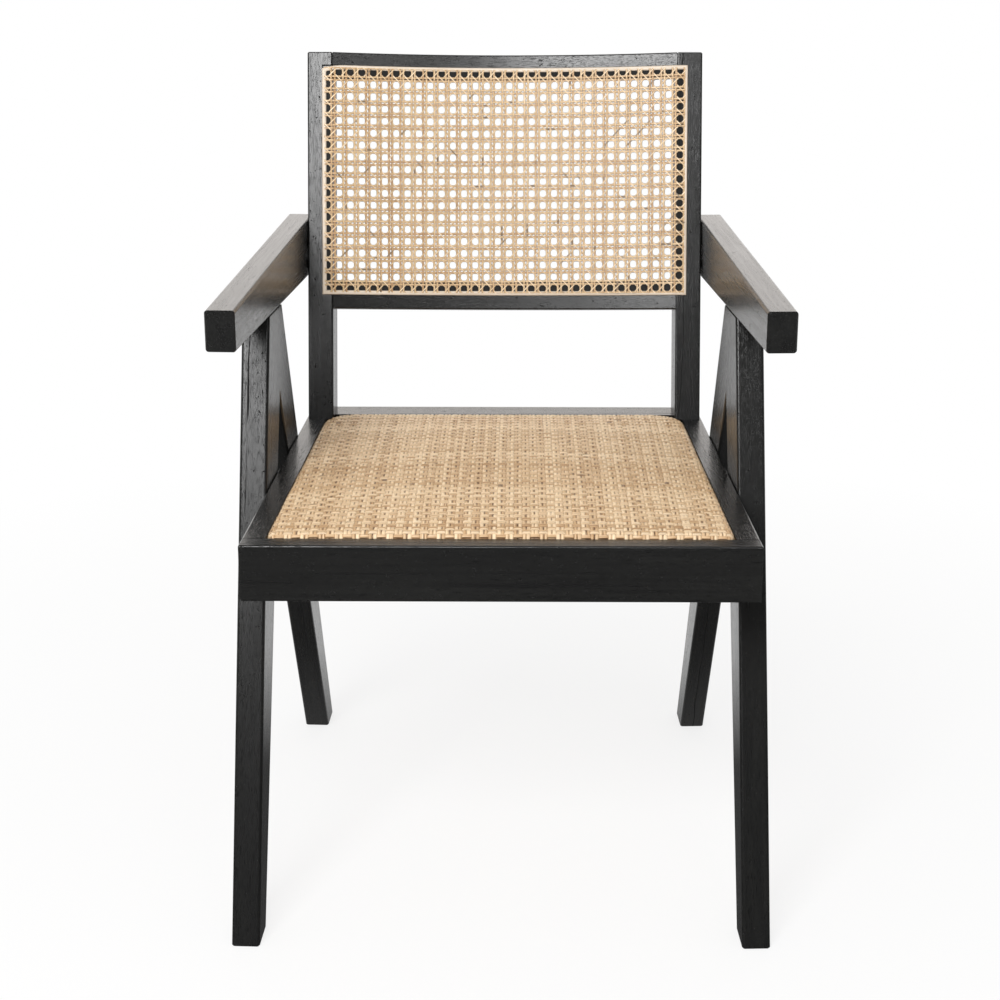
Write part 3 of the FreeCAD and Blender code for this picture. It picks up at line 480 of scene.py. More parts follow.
@dataclass(frozen=True)
class SplitCane:
    """Split rattan: skin or core cut into flat strands.

    Each strand has its own tone and lengthwise fibres, and here and there the darker ring of a node.
    Its edges are darker, partly its own colour and partly painted shade, and where it dips under
    others it gets painted shade. Lengths are in millimetres. The fibre's width and the edge are
    shares of the strand's width.
    """

    name: str
    stain: str
    dark: str
    light: str
    pale: str
    # Darkest colour: painted shade at the edges and dips, and the scars
    edge: str
    roughness: float
    ior: float = 1.5
    stops: tuple[float, ...] = (0.34, 0.43, 0.54, 0.66)
    gloss_range: float = 0.08
    fibre: tuple[float, float] = (26.0, 0.16)
    fibre_range: tuple[float, float] = (0.3, 0.7)
    fibre_step: float = 97.0
    fibre_detail: float = 3.0
    tone_share: float = 0.4
    patch: float = 34.0
    patch_detail: float = 2.0
    patch_share: float = 0.35
    scar: float = 30.0
    scar_step: float = 53.0
    scar_detail: float = 1.0
    scar_share: float = 0.345
    scar_fade: float = 0.05
    scar_depth: float = 0.75
    # Painted shade: strands darken towards the edge colour at their edges and where they dip under others
    edge_from: float = 0.2
    edge_share: float = 0.9
    dip_shade_to: float = 0.65
    dip_shade_share: float = 0.55
    # Patches, in millimetres, where the painted shade at edges and dips is weaker
    shade_patch: float = 8.0
    shade_patch_detail: float = 1.5
    shade_patch_range: tuple[float, float] = (0.38, 0.62)
    shade_patch_share: float = 0.0
    depth: float = 0.05
    relief: float = 0.5

    def darkness(self, tree: NodeTree, along: NodeSocket, across: NodeSocket, tone: NodeSocket,
                 place: NodeSocket) -> Node:
        """Add the mask of the darker edges, partly their own colour and partly painted shade, of painted
        shade in the dips, weaker in patches, and of nodes.

        Args:
            tree: node tree of the cane.
            along: place along the strand, in metres.
            across: place across the strand, from 0 to 1.
            tone: the strand's own tone.
            place: place on the chair.

        Returns:
            Node that gives one where the strand is darkest.
        """
        middle = add(tree, "Math", {0: across, 1: 0.5}, operation="SUBTRACT")
        # Darker edges: partly the cane's own colour, partly painted shade between the strands
        rim = add(tree, "MapRange", {
            "Value": add(tree, "Math", {0: middle}, operation="ABSOLUTE"),
            "From Min": self.edge_from, "From Max": 0.5, "To Min": 0.0, "To Max": self.edge_share,
        })
        # Painted shade where the strand lies low, passing under others
        dip = add(tree, "MapRange", {
            "Value": add(tree, "Attribute", attribute_name="rise").outputs["Fac"],
            "From Min": 0.0, "From Max": self.dip_shade_to, "To Min": self.dip_shade_share, "To Max": 0.0,
        })
        lengths = add(tree, "CombineXYZ", {
            "X": add(tree, "Math", {0: along, 1: 1 / (self.scar * MM)}, operation="MULTIPLY"),
            "Z": add(tree, "Math", {0: tone, 1: self.scar_step}, operation="MULTIPLY"),
        })
        scars = add(tree, "MapRange", {
            "Value": add(tree, "TexNoise", {"Vector": lengths, "Scale": 1.0, "Detail": self.scar_detail}),
            "From Min": self.scar_share - self.scar_fade, "From Max": self.scar_share,
            "To Min": self.scar_depth, "To Max": 0.0,
        })
        # The painted shade is weaker in patches
        low, high = self.shade_patch_range
        shade_kept = add(tree, "MapRange", {
            "Value": add(tree, "TexNoise", {
                "Vector": place, "Scale": 1 / (self.shade_patch * MM), "Detail": self.shade_patch_detail,
            }),
            "From Min": low, "From Max": high, "To Min": 1 - self.shade_patch_share, "To Max": 1.0,
        })
        dark = add(tree, "Math", {0: rim, 1: dip}, operation="MAXIMUM")
        dark = add(tree, "Math", {0: dark, 1: shade_kept}, operation="MULTIPLY")
        return add(tree, "Math", {0: dark, 1: scars}, operation="MAXIMUM")

    def material(self) -> Material:
        """Make the material, which reads the strands' own UV map, tone and rise.

        Returns:
            The material.
        """
        material, tree, shader = blank(self.name, {"IOR": self.ior})
        strip = add(tree, "SeparateXYZ", {"Vector": add(tree, "UVMap", uv_map="strand")})
        along, across = strip.outputs[0], strip.outputs[1]
        tone = add(tree, "Attribute", attribute_name="tone").outputs["Fac"]
        place = add(tree, "TexCoord").outputs["Object"]
        long, wide = self.fibre
        local = add(tree, "CombineXYZ", {
            "X": add(tree, "Math", {0: along, 1: 1 / (long * MM)}, operation="MULTIPLY"),
            "Y": add(tree, "Math", {0: across, 1: 1 / wide}, operation="MULTIPLY"),
            "Z": add(tree, "Math", {0: tone, 1: self.fibre_step}, operation="MULTIPLY"),
        })
        fibres = add(tree, "TexNoise", {"Vector": local, "Scale": 1.0, "Detail": self.fibre_detail})
        patches = add(tree, "TexNoise", {
            "Vector": place, "Scale": 1 / (self.patch * MM), "Detail": self.patch_detail,
        })
        # The shade is the mean of the fibres, the strand's own tone and the patches
        shade = fibres
        for source, share, clamp in ((tone, self.tone_share, False), (patches, self.patch_share, True)):
            part = add(tree, "MapRange", {
                "Value": source, "To Min": 0.5 - share / 2, "To Max": 0.5 + share / 2,
            }, clamp=clamp)
            shade = add(tree, "Math", {0: shade, 1: part}, operation="ADD")
        shade = add(tree, "Math", {0: shade, 1: 3.0}, operation="DIVIDE")
        shades = (self.stain, self.dark, self.light, self.pale)
        body = add(tree, "ValToRGB", {"Fac": shade}, stops=tuple(zip(self.stops, shades)))
        dark = self.darkness(tree, along, across, tone, place)
        # Painted shade and the scars darken the strand towards the edge colour
        colour = add(tree, "Mix", {0: dark, 6: body, 7: linear(self.edge)}, data_type="RGBA")
        low, high = self.fibre_range
        gloss = add(tree, "MapRange", {
            "Value": fibres, "From Min": low, "From Max": high,
            "To Min": self.roughness + self.gloss_range, "To Max": self.roughness - self.gloss_range,
        })
        bump = add(tree, "Bump", {"Strength": self.relief, "Distance": self.depth * MM, "Height": fibres})
        feed(tree, shader, {"Base Color": colour.outputs[2], "Roughness": gloss, "Normal": bump})
        return material


@dataclass(frozen=True)
class ZincSteel:
    """Zinc-plated steel: pale grey metal, cloudy from the plating bath, faintly scratched.

    Sizes of the clouds and scratches are in millimetres.
    """

    pale: str = "#b9bcc0"
    deep: str = "#8f9296"
    cloud: float = 3.0
    scratch: float = 0.25
    scratch_depth: float = 0.02
    cloud_detail: float = 3.0
    scratch_detail: float = 2.0
    tone_range: tuple[float, float] = (0.35, 0.65)
    relief: float = 0.2
    roughness: tuple[float, float] = (0.42, 0.24)

    def material(self) -> Material:
        """Make the material.

        Returns:
            The material.
        """
        material, tree, shader = blank("zinc_plated_steel", {"Metallic": 1.0})
        place = add(tree, "TexCoord").outputs["Object"]
        clouds, fine = (
            add(tree, "TexNoise", {"Vector": place, "Scale": 1 / (size * MM), "Detail": detail})
            for size, detail in ((self.cloud, self.cloud_detail), (self.scratch, self.scratch_detail))
        )
        low, high = self.tone_range
        colour = add(tree, "ValToRGB", {"Fac": clouds}, stops=((low, self.deep), (high, self.pale)))
        dull, bright = self.roughness
        gloss = add(tree, "MapRange", {"Value": clouds, "To Min": dull, "To Max": bright})
        bump = add(tree, "Bump", {
            "Strength": self.relief, "Distance": self.scratch_depth * MM, "Height": fine,
        })
        feed(tree, shader, {"Base Color": colour, "Roughness": gloss, "Normal": bump})
        return material


@dataclass(frozen=True)
class PadCloth:
    """Cotton lining over the foam pad: a plain weave that shows only between the strands. Its dark brown is
    painted shade for the gaps between the strands.

    Sizes of the threads and of the tonal clouds are in millimetres.
    """

    # Dark browns that paint the shade seen through the gaps in the weave
    pale: str = "#7a5b39"
    deep: str = "#5b4227"
    thread: float = 0.5
    thread_depth: float = 0.1
    cloud: float = 12.0
    cloud_detail: float = 4.0
    tone_range: tuple[float, float] = (0.35, 0.65)
    roughness: float = 0.95
    relief: float = 0.4

    def material(self) -> Material:
        """Make the material.

        Returns:
            The material.
        """
        material, tree, shader = blank("gap_shade_lining", {"Roughness": self.roughness})
        place = add(tree, "TexCoord").outputs["Object"]
        threads = add(tree, "TexChecker", {"Vector": place, "Scale": 1 / (self.thread * MM)}).outputs["Fac"]
        tones = add(tree, "TexNoise", {
            "Vector": place, "Scale": 1 / (self.cloud * MM), "Detail": self.cloud_detail,
        })
        low, high = self.tone_range
        colour = add(tree, "ValToRGB", {"Fac": tones}, stops=((low, self.deep), (high, self.pale)))
        bump = add(tree, "Bump", {
            "Strength": self.relief, "Distance": self.thread_depth * MM, "Height": threads,
        })
        feed(tree, shader, {"Base Color": colour, "Normal": bump})
        return material


# Black-stained ash under satin lacquer: near black, with a soft sheen that shows the grain
BLACK_ASH = SolidWood(
    "black_stained_ash", "#111111", "#20201f", "#050505", 0.25, pit_share=0.325, check_share=0.54,
)
# Planed beech, unfinished: pale pinkish brown with short dark flecks
BEECH = SolidWood(
    "planed_beech", "#b88f63", "#d2ad80", "#8f6a45", 0.55, streak=(90.0, 2.4), pores=(3.0, 0.5),
)
# Birch plywood face veneer: pale and even, with wide cathedral figure
BIRCH_PLY = SolidWood("birch_plywood", "#c29b6b", "#dcbd90", "#a57f52", 0.6, figure=(300.0, 42.0))
# Peeled rattan skin of the back: glossy, cream to tan, with near-black edges, partly painted shade, and
# painted shade in the dips
BACK_CANE = SplitCane(
    "peeled_rattan_cane", "#855b34", "#b08557", "#dabb8f", "#fce5c4", "#33200f", 0.42,
    tone_share=0.25, patch_share=0.15,
)
# Bleached rattan core of the splines: pale, even and matt, its edges a little darker, partly painted shade
SPLINE_REED = SplitCane(
    "bleached_rattan_core", "#c3ad92", "#d2c2ae", "#ddd0c0", "#e7ddd0", "#b69d82", 0.55,
    scar_share=0.2, edge_share=0.35,
)
# Rattan core of the seat: matt, straw to tan, each strand a little different, with darker edges, partly
# painted shade, and painted shade in the dips, weaker in patches
SEAT_CANE = SplitCane(
    "seat_rattan_core", "#8c6741", "#c09b71", "#e8cca6", "#f8e3c3", "#563313", 0.5,
    patch_share=0.15, scar_share=0.3, edge_from=0.23, edge_share=1.0, dip_shade_share=0.75, shade_patch_share=0.4,
)


# The chair

@dataclass
class DarkFrame:
    """Legs, armrests, seat rails, posts and back rails: CAD pieces that get their wood.

    Angles are in degrees. The cane's limits, inside its splines, are in millimetres.
    """

    toe_in: float = 2.42
    front_lean: float = 20.3
    rear_lean: float = 27.6
    arm_slope: float = 1.9
    seat_slope: float = SEAT_SLOPE
    rake: float = BACK_RAKE
    back_foot: tuple[float, float] = BACK_FOOT
    cane_half: float = 198.5
    cane_low: float = 143.8
    cane_high: float = 388.4
    front_depth: float = 0.5

    def axes(self) -> dict[str, Vector]:
        """Work out each piece's grain.

        Returns:
            Direction of the grain by name of the CAD node.
        """
        across, up = Vector((1, 0, 0)), Vector((0, 0, 1))
        rake, toe = math.radians(self.rake), math.radians(self.toe_in)
        rails = ("seat_rail_front", "seat_rail_rear", "back_rail_top", "back_rail_bottom")
        grain = {rail: across for rail in rails}
        for name, side in SIDES.items():
            back = Vector((-side * math.sin(toe), math.cos(toe), 0))
            for piece, tilt in (("front_leg", self.front_lean), ("rear_leg", -self.rear_lean)):
                lean = math.radians(tilt)
                grain[f"{piece}_{name}"] = back * math.sin(lean) + up * math.cos(lean)
            for piece, drop in (("armrest", self.arm_slope), ("seat_rail", self.seat_slope)):
                grain[f"{piece}_{name}"] = back - up * math.tan(math.radians(drop))
            grain[f"back_post_{name}"] = Vector((0, math.sin(rake), math.cos(rake)))
        return grain

    def under_cane(self, upright: bool) -> Callable[[NodeTree], NodeSocket]:
        """Find the front of a back piece that lies under the cane, inside the spline.

        Args:
            upright: whether the piece is a post, and not a rail.

        Returns:
            A function that adds the mask to a node tree.
        """
        rake = math.radians(self.rake)
        up = Vector((0, math.sin(rake), math.cos(rake)))
        back = Vector((0, math.cos(rake), -math.sin(rake)))
        foot = Vector((0, *self.back_foot)) * MM
        middle = foot.dot(up) + (self.cane_low + self.cane_high) / 2 * MM
        reach = (self.cane_high - self.cane_low) / 2 * MM
        front = foot.dot(back) + self.front_depth * MM

        def mask(tree: NodeTree) -> NodeSocket:
            """Add the nodes of the mask.

            Args:
                tree: node tree of the wood.

            Returns:
                Output that gives one under the cane and zero elsewhere.
            """
            place = add(tree, "TexCoord").outputs["Object"]
            rise = add(tree, "VectorMath", {0: place, 1: up}, operation="DOT_PRODUCT").outputs["Value"]
            inside = add(tree, "Math", {0: rise, 1: middle, 2: reach}, operation="COMPARE")
            if upright:
                depth = add(tree, "VectorMath", {0: place, 1: back}, operation="DOT_PRODUCT").outputs["Value"]
                across = add(tree, "SeparateXYZ", {"Vector": place})
                aside = add(tree, "Math", {0: across}, operation="ABSOLUTE")
                for value, limit in ((depth, front), (aside, self.cane_half * MM)):
                    within = add(tree, "Math", {0: value, 1: limit}, operation="LESS_THAN")
                    inside = add(tree, "Math", {0: inside, 1: within}, operation="MULTIPLY")
            return inside.outputs[0]

        return mask

    def dress(self, nodes: dict[str, Object]) -> None:
        """Give each wooden piece of the frame its own cut of black-stained ash.

        Args:
            nodes: CAD pieces by name.
        """
        bare = {f"back_rail_{end}": self.under_cane(False) for end in ("top", "bottom")}
        bare |= {f"back_post_{side}": self.under_cane(True) for side in SIDES}
        for number, (name, axis) in enumerate(self.axes().items()):
            coat(nodes[name], BLACK_ASH.material(name, axis, number, bare.get(name)))


class Way(Enum):
    """Direction of a set of cane strands in the back."""

    UPRIGHT = "upright"
    ACROSS = "across"
    RISING = "rising"
    FALLING = "falling"

    @property
    def slanted(self) -> bool:
        """Whether the strands run at a slant."""
        return self in (Way.RISING, Way.FALLING)


@dataclass
class CaneBack:
    """Open six-way cane in the curved back, with the reed splines that hold it.

    The back's own frame has x across, v back into the seat's depth and w up the posts. Sizes are
    in millimetres, and the rake is in degrees.
    """

    foot: tuple[float, float] = BACK_FOOT
    rake: float = BACK_RAKE
    post_inner: float = 191.48
    sag: float = 22.8
    spline_outer: float = 203.28
    spline_low: float = 139.0
    spline_high: float = 393.2
    spline_width: float = 4.8
    spline_proud: float = 1.4
    spline_sunk: float = 3.6
    spline_swell: float = 1.3
    spline_sides: int = 16
    spline_lengths: int = 64
    corner_droop: float = 3.6
    droop_length: float = 26.0
    pitch_x: float = 12.66
    pitch_w: float = 13.34
    hole_x: float = 5.09
    hole_w: float = 373.14
    skew: float = 0.0062
    strand_width: float = 2.45
    slant_width: float = 2.1
    slant_paler: float = 0.9
    slant_rise: float = 1.05
    strand_thick: float = 0.6
    strand_crown: float = 0.62
    pair_lengths: int = 8
    slant_lengths: int = 4
    pair_half: float = 1.67
    pair_rise: float = 0.5
    sheet_lift: float = 1.5
    wander: float = 0.22
    wander_length: float = 17.0
    wander_step: float = 2.4
    tone_step: float = 12.9898
    tuck: float = 2.4
    wood_gap: float = 0.25
    spare_holes: int = 2
    spare_rows: int = 3
    crease: float = 50.0

    def hollow(self, across: np.ndarray) -> np.ndarray:
        """Work out the depth of the back's hollow.

        Args:
            across: places across the back.

        Returns:
            Depths behind the posts' front.
        """
        radius = (self.post_inner ** 2 + self.sag ** 2) / (2 * self.sag)
        near = np.minimum(np.abs(across), self.post_inner)
        return np.sqrt(radius ** 2 - near ** 2) - math.sqrt(radius ** 2 - self.post_inner ** 2)

    def bend(self, piece: Object) -> None:
        """Lay a flat piece, its front towards +Z, on the hollow back.

        Args:
            piece: mesh object whose points are places across and up and heights over the wood.
        """
        across, up, out = (points_of(piece) / MM).T
        slope = self.hollow(across + 0.5) - self.hollow(across - 0.5)
        tilt = np.sqrt(1 + slope ** 2)
        x = across + out * slope / tilt
        v = self.hollow(across) - out / tilt
        rake = math.radians(self.rake)
        y = self.foot[0] + v * math.cos(rake) + up * math.sin(rake)
        z = self.foot[1] - v * math.sin(rake) + up * math.cos(rake)
        move_points(piece, np.column_stack((x, y, z)) * MM)

    def rows(self) -> tuple[float, float, float, float]:
        """Find the edges of the cane sheet under the splines.

        Returns:
            Left, right, low and high edge.
        """
        inner = self.spline_outer - self.spline_width + self.tuck
        low = self.spline_low + self.spline_width - self.tuck
        return -inner, inner, low, self.spline_high - self.spline_width + self.tuck

    def wave(self, way: Way, flat: np.ndarray, second: np.ndarray) -> np.ndarray:
        """Work out how high strands lie as they pass over and under each other.

        Args:
            way: direction of the strands.
            flat: places in the sheet, from a hole's centre.
            second: which strand of its pair each point is on, as -1 or 1.

        Returns:
            Heights over the middle of the sheet.
        """
        if way.slanted:
            sign = -1 if way is Way.RISING else 1
            return sign * self.strand_thick * self.slant_rise * np.cos(2 * np.pi * flat[:, 0] / self.pitch_x)
        along, pitch = (flat[:, 1], self.pitch_w) if way is Way.UPRIGHT else (flat[:, 0], self.pitch_x)
        pair = 2 * self.pair_half
        off = (along + pitch) % pitch - pitch / 2
        swing = np.where(np.abs(off) < pair, np.sin(np.pi * off / pair), 0.0)
        sign = -second if way is Way.UPRIGHT else second
        return sign * self.strand_thick * self.pair_rise * swing

    def middle_hole(self) -> float:
        """Find the hole nearest to the middle of the sheet.

        Returns:
            Its height up the posts.
        """
        _, _, low, high = self.rows()
        steps = round((self.hole_w - (low + high) / 2) / self.pitch_w)
        return self.hole_w - steps * self.pitch_w

    def phase(self, way: Way, count: int, holes: int) -> tuple[float, float]:
        """Find the shift that sets strands midway between the holes.

        Args:
            way: direction of the strands.
            count: how many pairs or slanted strands there are.
            holes: how many holes a strand passes.

        Returns:
            Shifts across and up.
        """
        odd_row, odd_length = count % 2, holes % 2
        odd_x = odd_length if way is Way.ACROSS else odd_row
        odd_w = {Way.UPRIGHT: odd_length, Way.ACROSS: odd_row}.get(way, 0)
        return odd_x * self.pitch_x / 2, odd_w * self.pitch_w / 2

    def strands(self, way: Way) -> Object:
        """Weave one set of strands.

        Args:
            way: direction of the strands.

        Returns:
            The strands as one piece, laid on the back.
        """
        left, right, low, high = self.rows()
        wide, tall = right - left, high - low
        if way is Way.ACROSS:
            side, pitch, step, extent, reach = 1, self.pitch_x, self.pitch_w, wide, tall
        else:
            side, pitch, step, extent, reach = 0, self.pitch_w, self.pitch_x, tall, wide + tall * way.slanted
        holes = math.ceil(extent / pitch) + self.spare_holes
        count = math.ceil(reach / step) + self.spare_rows
        width = self.slant_width if way.slanted else self.strand_width
        piece = strand(f"cane_{way.value}", (width, holes * pitch, self.strand_thick), self.strand_crown,
                       (holes, self.slant_lengths if way.slanted else self.pair_lengths))
        size = len(piece.data.vertices)
        flat = points_of(piece) / MM
        across, along = flat[:, 0] / width + 0.5, flat[:, 1].copy()
        if way.slanted:
            flat[:, 0] += self.pitch_x / self.pitch_w * (1 if way is Way.RISING else -1) * flat[:, 1]
        if way is Way.ACROSS:
            flat[:, :2] = np.column_stack((flat[:, 1], -flat[:, 0]))
        move_points(piece, flat * MM)
        sideways = np.eye(3)[side]
        if not way.slanted:
            repeat(piece, 2, tuple(2 * self.pair_half * MM * sideways))
        repeat(piece, count, tuple(step * MM * sideways))
        copies = len(piece.data.vertices) // size
        number = np.arange(copies).repeat(size)
        flat = points_of(piece) / MM
        flat[:, side] -= (count - 1) * step / 2 + (0.0 if way.slanted else self.pair_half)
        flat[:, :2] += self.phase(way, count, holes)
        height = self.wave(way, flat, np.where(number % 2 == 0, -1.0, 1.0))
        flat[:, 2] += height
        bow = np.sin(flat[:, 1 - side] / self.wander_length + number * self.wander_step)
        flat[:, side] += self.wander * bow
        flat += (self.hole_x, self.middle_hole(), self.wood_gap + self.sheet_lift * self.strand_thick)
        flat[:, 1] += self.skew * flat[:, 0]
        move_points(piece, flat * MM)
        tone = scatter(number, self.tone_step, len(way.value)) + self.slant_paler * way.slanted
        # rise: how high each point lies; the cane's material paints shade where it is low
        rise = 0.5 + 0.5 * height / np.abs(height).max()
        mark_strands(piece, np.tile(across, copies), np.tile(along, copies) * MM + tone, tone=tone, rise=rise)
        edges = ((left, 0, -1, 0), (right, 0, 1, 0), (0, low, 0, -1), (0, high, 0, 1))
        cut_off(piece, [((x * MM, w * MM, 0), (out_x, out_w, 0)) for x, w, out_x, out_w in edges])
        self.bend(piece)
        return piece

    def spline(self, name: str, upright: bool, place: float) -> Object:
        """Model one reed spline, round-topped, mitred and pressed into its groove.

        Args:
            name: name of the piece.
            upright: whether it runs up a post.
            place: its middle line, across or up.

        Returns:
            The spline, laid on the back.
        """
        outer, low, high = self.spline_outer, self.spline_low, self.spline_high
        length = (high - low) if upright else 2 * outer
        thick = self.spline_proud + self.spline_sunk
        # It is shaped in millimetres and brought to metres just before it is laid
        piece = start(name, bpy.ops.mesh.primitive_cylinder_add, vertices=self.spline_sides, radius=0.5,
                      depth=1.0, end_fill_type="NGON")
        with editing(piece) as mesh:
            bpy.ops.mesh.select_all(action="SELECT")
            bpy.ops.transform.rotate(value=math.pi / 2, orient_axis="X", center_override=ORIGIN)
            bpy.ops.transform.resize(value=(self.spline_width, length, thick), center_override=ORIGIN)
            pick(mesh, "EDGE", lambda edge: abs(edge.verts[0].co.y - edge.verts[1].co.y) > 1)
            bpy.ops.mesh.subdivide(number_cuts=self.spline_lengths - 1)
        flat = points_of(piece)
        across, along = flat[:, 0] / self.spline_width + 0.5, flat[:, 1].copy()
        # The top is a low arch and the rest a plain foot that fills the groove
        arch = 2 * self.spline_proud / thick
        flat[:, 2] *= np.where(flat[:, 2] > 0, arch, self.spline_swell)
        if upright:
            flat[:, 0] += place
            flat[:, 1] += (low + high) / 2
        else:
            flat[:, :2] = np.column_stack((flat[:, 1], place - flat[:, 0]))
        move_points(piece, flat)
        mark_strands(piece, across, along * MM, tone=np.full(len(flat), 0.5), rise=np.ones(len(flat)))
        mitres = []
        for x, way_x in ((-outer, -1), (outer, 1)):
            for w, way_w in ((low, -1), (high, 1)):
                if abs((x if upright else w) - place) < self.spline_width:
                    mitres.append(((x, w, 0), (-way_x, way_w, 0) if upright else (way_x, -way_w, 0)))
        cut_off(piece, mitres)
        flat = points_of(piece)
        reach = np.clip((flat[:, 0] + outer) / self.droop_length, 0, 1)
        high_up = np.clip((flat[:, 1] - (high - self.droop_length)) / (self.droop_length / 2), 0, 1)
        flat[:, 1] -= self.corner_droop * (1 - reach) ** 2 * high_up
        move_points(piece, flat * MM)
        self.bend(piece)
        return piece

    def build(self) -> None:
        """Weave the cane and press the splines round it."""
        cane, reed = BACK_CANE.material(), SPLINE_REED.material()
        for way in Way:
            piece = settle(self.strands(way), cane, self.crease)
            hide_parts("cane_panel")
        half = self.spline_width / 2
        splines = {
            "left": (True, half - self.spline_outer),
            "right": (True, self.spline_outer - half),
            "top": (False, self.spline_high - half),
            "bottom": (False, self.spline_low + half),
        }
        for name, (upright, place) in splines.items():
            piece = settle(self.spline(f"reed_spline_{name}", upright, place), reed, self.crease)
            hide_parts(f"cane_spline_{name}")


@dataclass
class WovenSeat:
    """Basket-woven rattan over a crowned pad, in the opening of the seat frame.

    The seat's own frame has x across, v back from the front rail's face and h above the rails.
    Sizes are in millimetres, and the slope is in degrees. The pad's blank is a share of its width.
    """

    foot: tuple[float, float] = (-298.2, 433.6)
    slope: float = SEAT_SLOPE
    front: float = 22.0
    rear: float = 464.4
    half_at_front: float = 217.77
    taper: float = 0.04226
    front_corner: float = 10.0
    rear_corner: float = 37.0
    inset: float = 1.5
    edge_rise: float = 3.4
    crown: float = 8.6
    end_crown: float = 1.2
    rear_drop: float = 3.6
    rear_bend: int = 6
    rear_side_share: float = 0.45
    roll: float = 5.0
    tail: float = 9.0
    pitch: float = 3.95
    strand_width: float = 4.15
    width_range: float = 0.15
    strand_thick: float = 1.25
    strand_crown: float = 0.52
    strand_flat: float = 1.5
    sharpness: float = 0.13
    block_lengths: int = 3
    wanders: tuple[Spot, ...] = ((0.3, 31.0, 2.4), (0.22, 11.0, 5.1))
    tone_step: float = 78.233
    count: int = 114
    pad_cells: int = 60
    pad_blank: float = 0.05
    pad_inset: float = 4.2
    pad_drop: float = 3.0
    pad_foot: float = -3.8
    pad_least: float = 1.0
    pad_round: float = 4.0
    round_reach: float = 9.0
    crease: float = 60.0

    def half(self, v: np.ndarray) -> np.ndarray:
        """Half width of the opening at a distance behind the front rail's face."""
        return self.half_at_front - self.taper * (v - self.front)

    def edge(self, flat: np.ndarray, inset: float) -> tuple[np.ndarray, np.ndarray]:
        """Find how far points lie inside the rounded outline of the seat.

        Args:
            flat: places in plan.
            inset: outline's distance inside the rails.

        Returns:
            Distances, negative outside, and outward directions.
        """
        x, v = flat[:, 0], flat[:, 1]
        side = np.where(x < 0, -1.0, 1.0)
        at_front = v < (self.front + self.rear) / 2
        radius = np.where(at_front, self.front_corner, self.rear_corner) - inset
        to_side = (self.half(v) - np.abs(x)) / math.hypot(1, self.taper) - inset
        to_end = np.where(at_front, v - self.front, self.rear - v) - inset
        slant = math.atan(self.taper)
        side_out = np.column_stack((side * math.cos(slant), np.full(len(x), math.sin(slant))))
        end_out = np.column_stack((np.zeros(len(x)), np.where(at_front, -1.0, 1.0)))
        in_corner = (to_side < radius) & (to_end < radius)
        off_side, off_end = radius - to_side, radius - to_end
        span = np.maximum(np.hypot(off_side, off_end), TINY)
        corner_out = (side_out * off_side[:, None] + end_out * off_end[:, None]) / span[:, None]
        inside = np.where(in_corner, radius - span, np.minimum(to_side, to_end))
        straight_out = np.where((to_side < to_end)[:, None], side_out, end_out)
        return inside, np.where(in_corner[:, None], corner_out, straight_out)

    def top(self, flat: np.ndarray) -> np.ndarray:
        """Work out the height of the crowned seat, which dips at the rear.

        Args:
            flat: places in plan.

        Returns:
            Heights over the rails.
        """
        share = np.clip((flat[:, 1] - self.front) / (self.rear - self.front), 0, 1)
        rise = self.end_crown + (self.crown - self.end_crown) * (1 - (2 * share - 1) ** 2)
        inward = 1 - np.clip(flat[:, 0] / self.half(flat[:, 1]), -1, 1) ** 2
        dip = share ** self.rear_bend * (self.rear_side_share + (1 - self.rear_side_share) * inward)
        return self.edge_rise + rise * inward - self.rear_drop * dip

    def set_down(self, piece: Object, plan: np.ndarray, height: np.ndarray) -> None:
        """Set a piece in the sloping seat frame.

        Args:
            piece: mesh object.
            plan: places of its points in plan.
            height: their heights over the rails.
        """
        slope = math.radians(self.slope)
        y = self.foot[0] + plan[:, 1] * math.cos(slope) + height * math.sin(slope)
        z = self.foot[1] - plan[:, 1] * math.sin(slope) + height * math.cos(slope)
        move_points(piece, np.column_stack((plan[:, 0], y, z)) * MM)

    def lay(self, piece: Object) -> None:
        """Lay woven strands over the crown and turn their ends down at the edge.

        Args:
            piece: mesh object whose points are places in plan and heights over the surface.
        """
        flat = points_of(piece) / MM
        inside, outward = self.edge(flat, self.inset)
        past = np.maximum(self.roll - inside, 0)
        angle = np.minimum(past / self.roll, np.pi / 2)
        straight = np.maximum(past - self.roll * np.pi / 2, 0)
        shift = self.roll * np.sin(angle) - past
        plan = flat[:, :2] + outward * (shift + flat[:, 2] * np.sin(angle))[:, None]
        drop = self.strand_thick + self.roll * (1 - np.cos(angle)) + straight
        self.set_down(piece, plan, self.top(flat) - drop + flat[:, 2] * np.cos(angle))

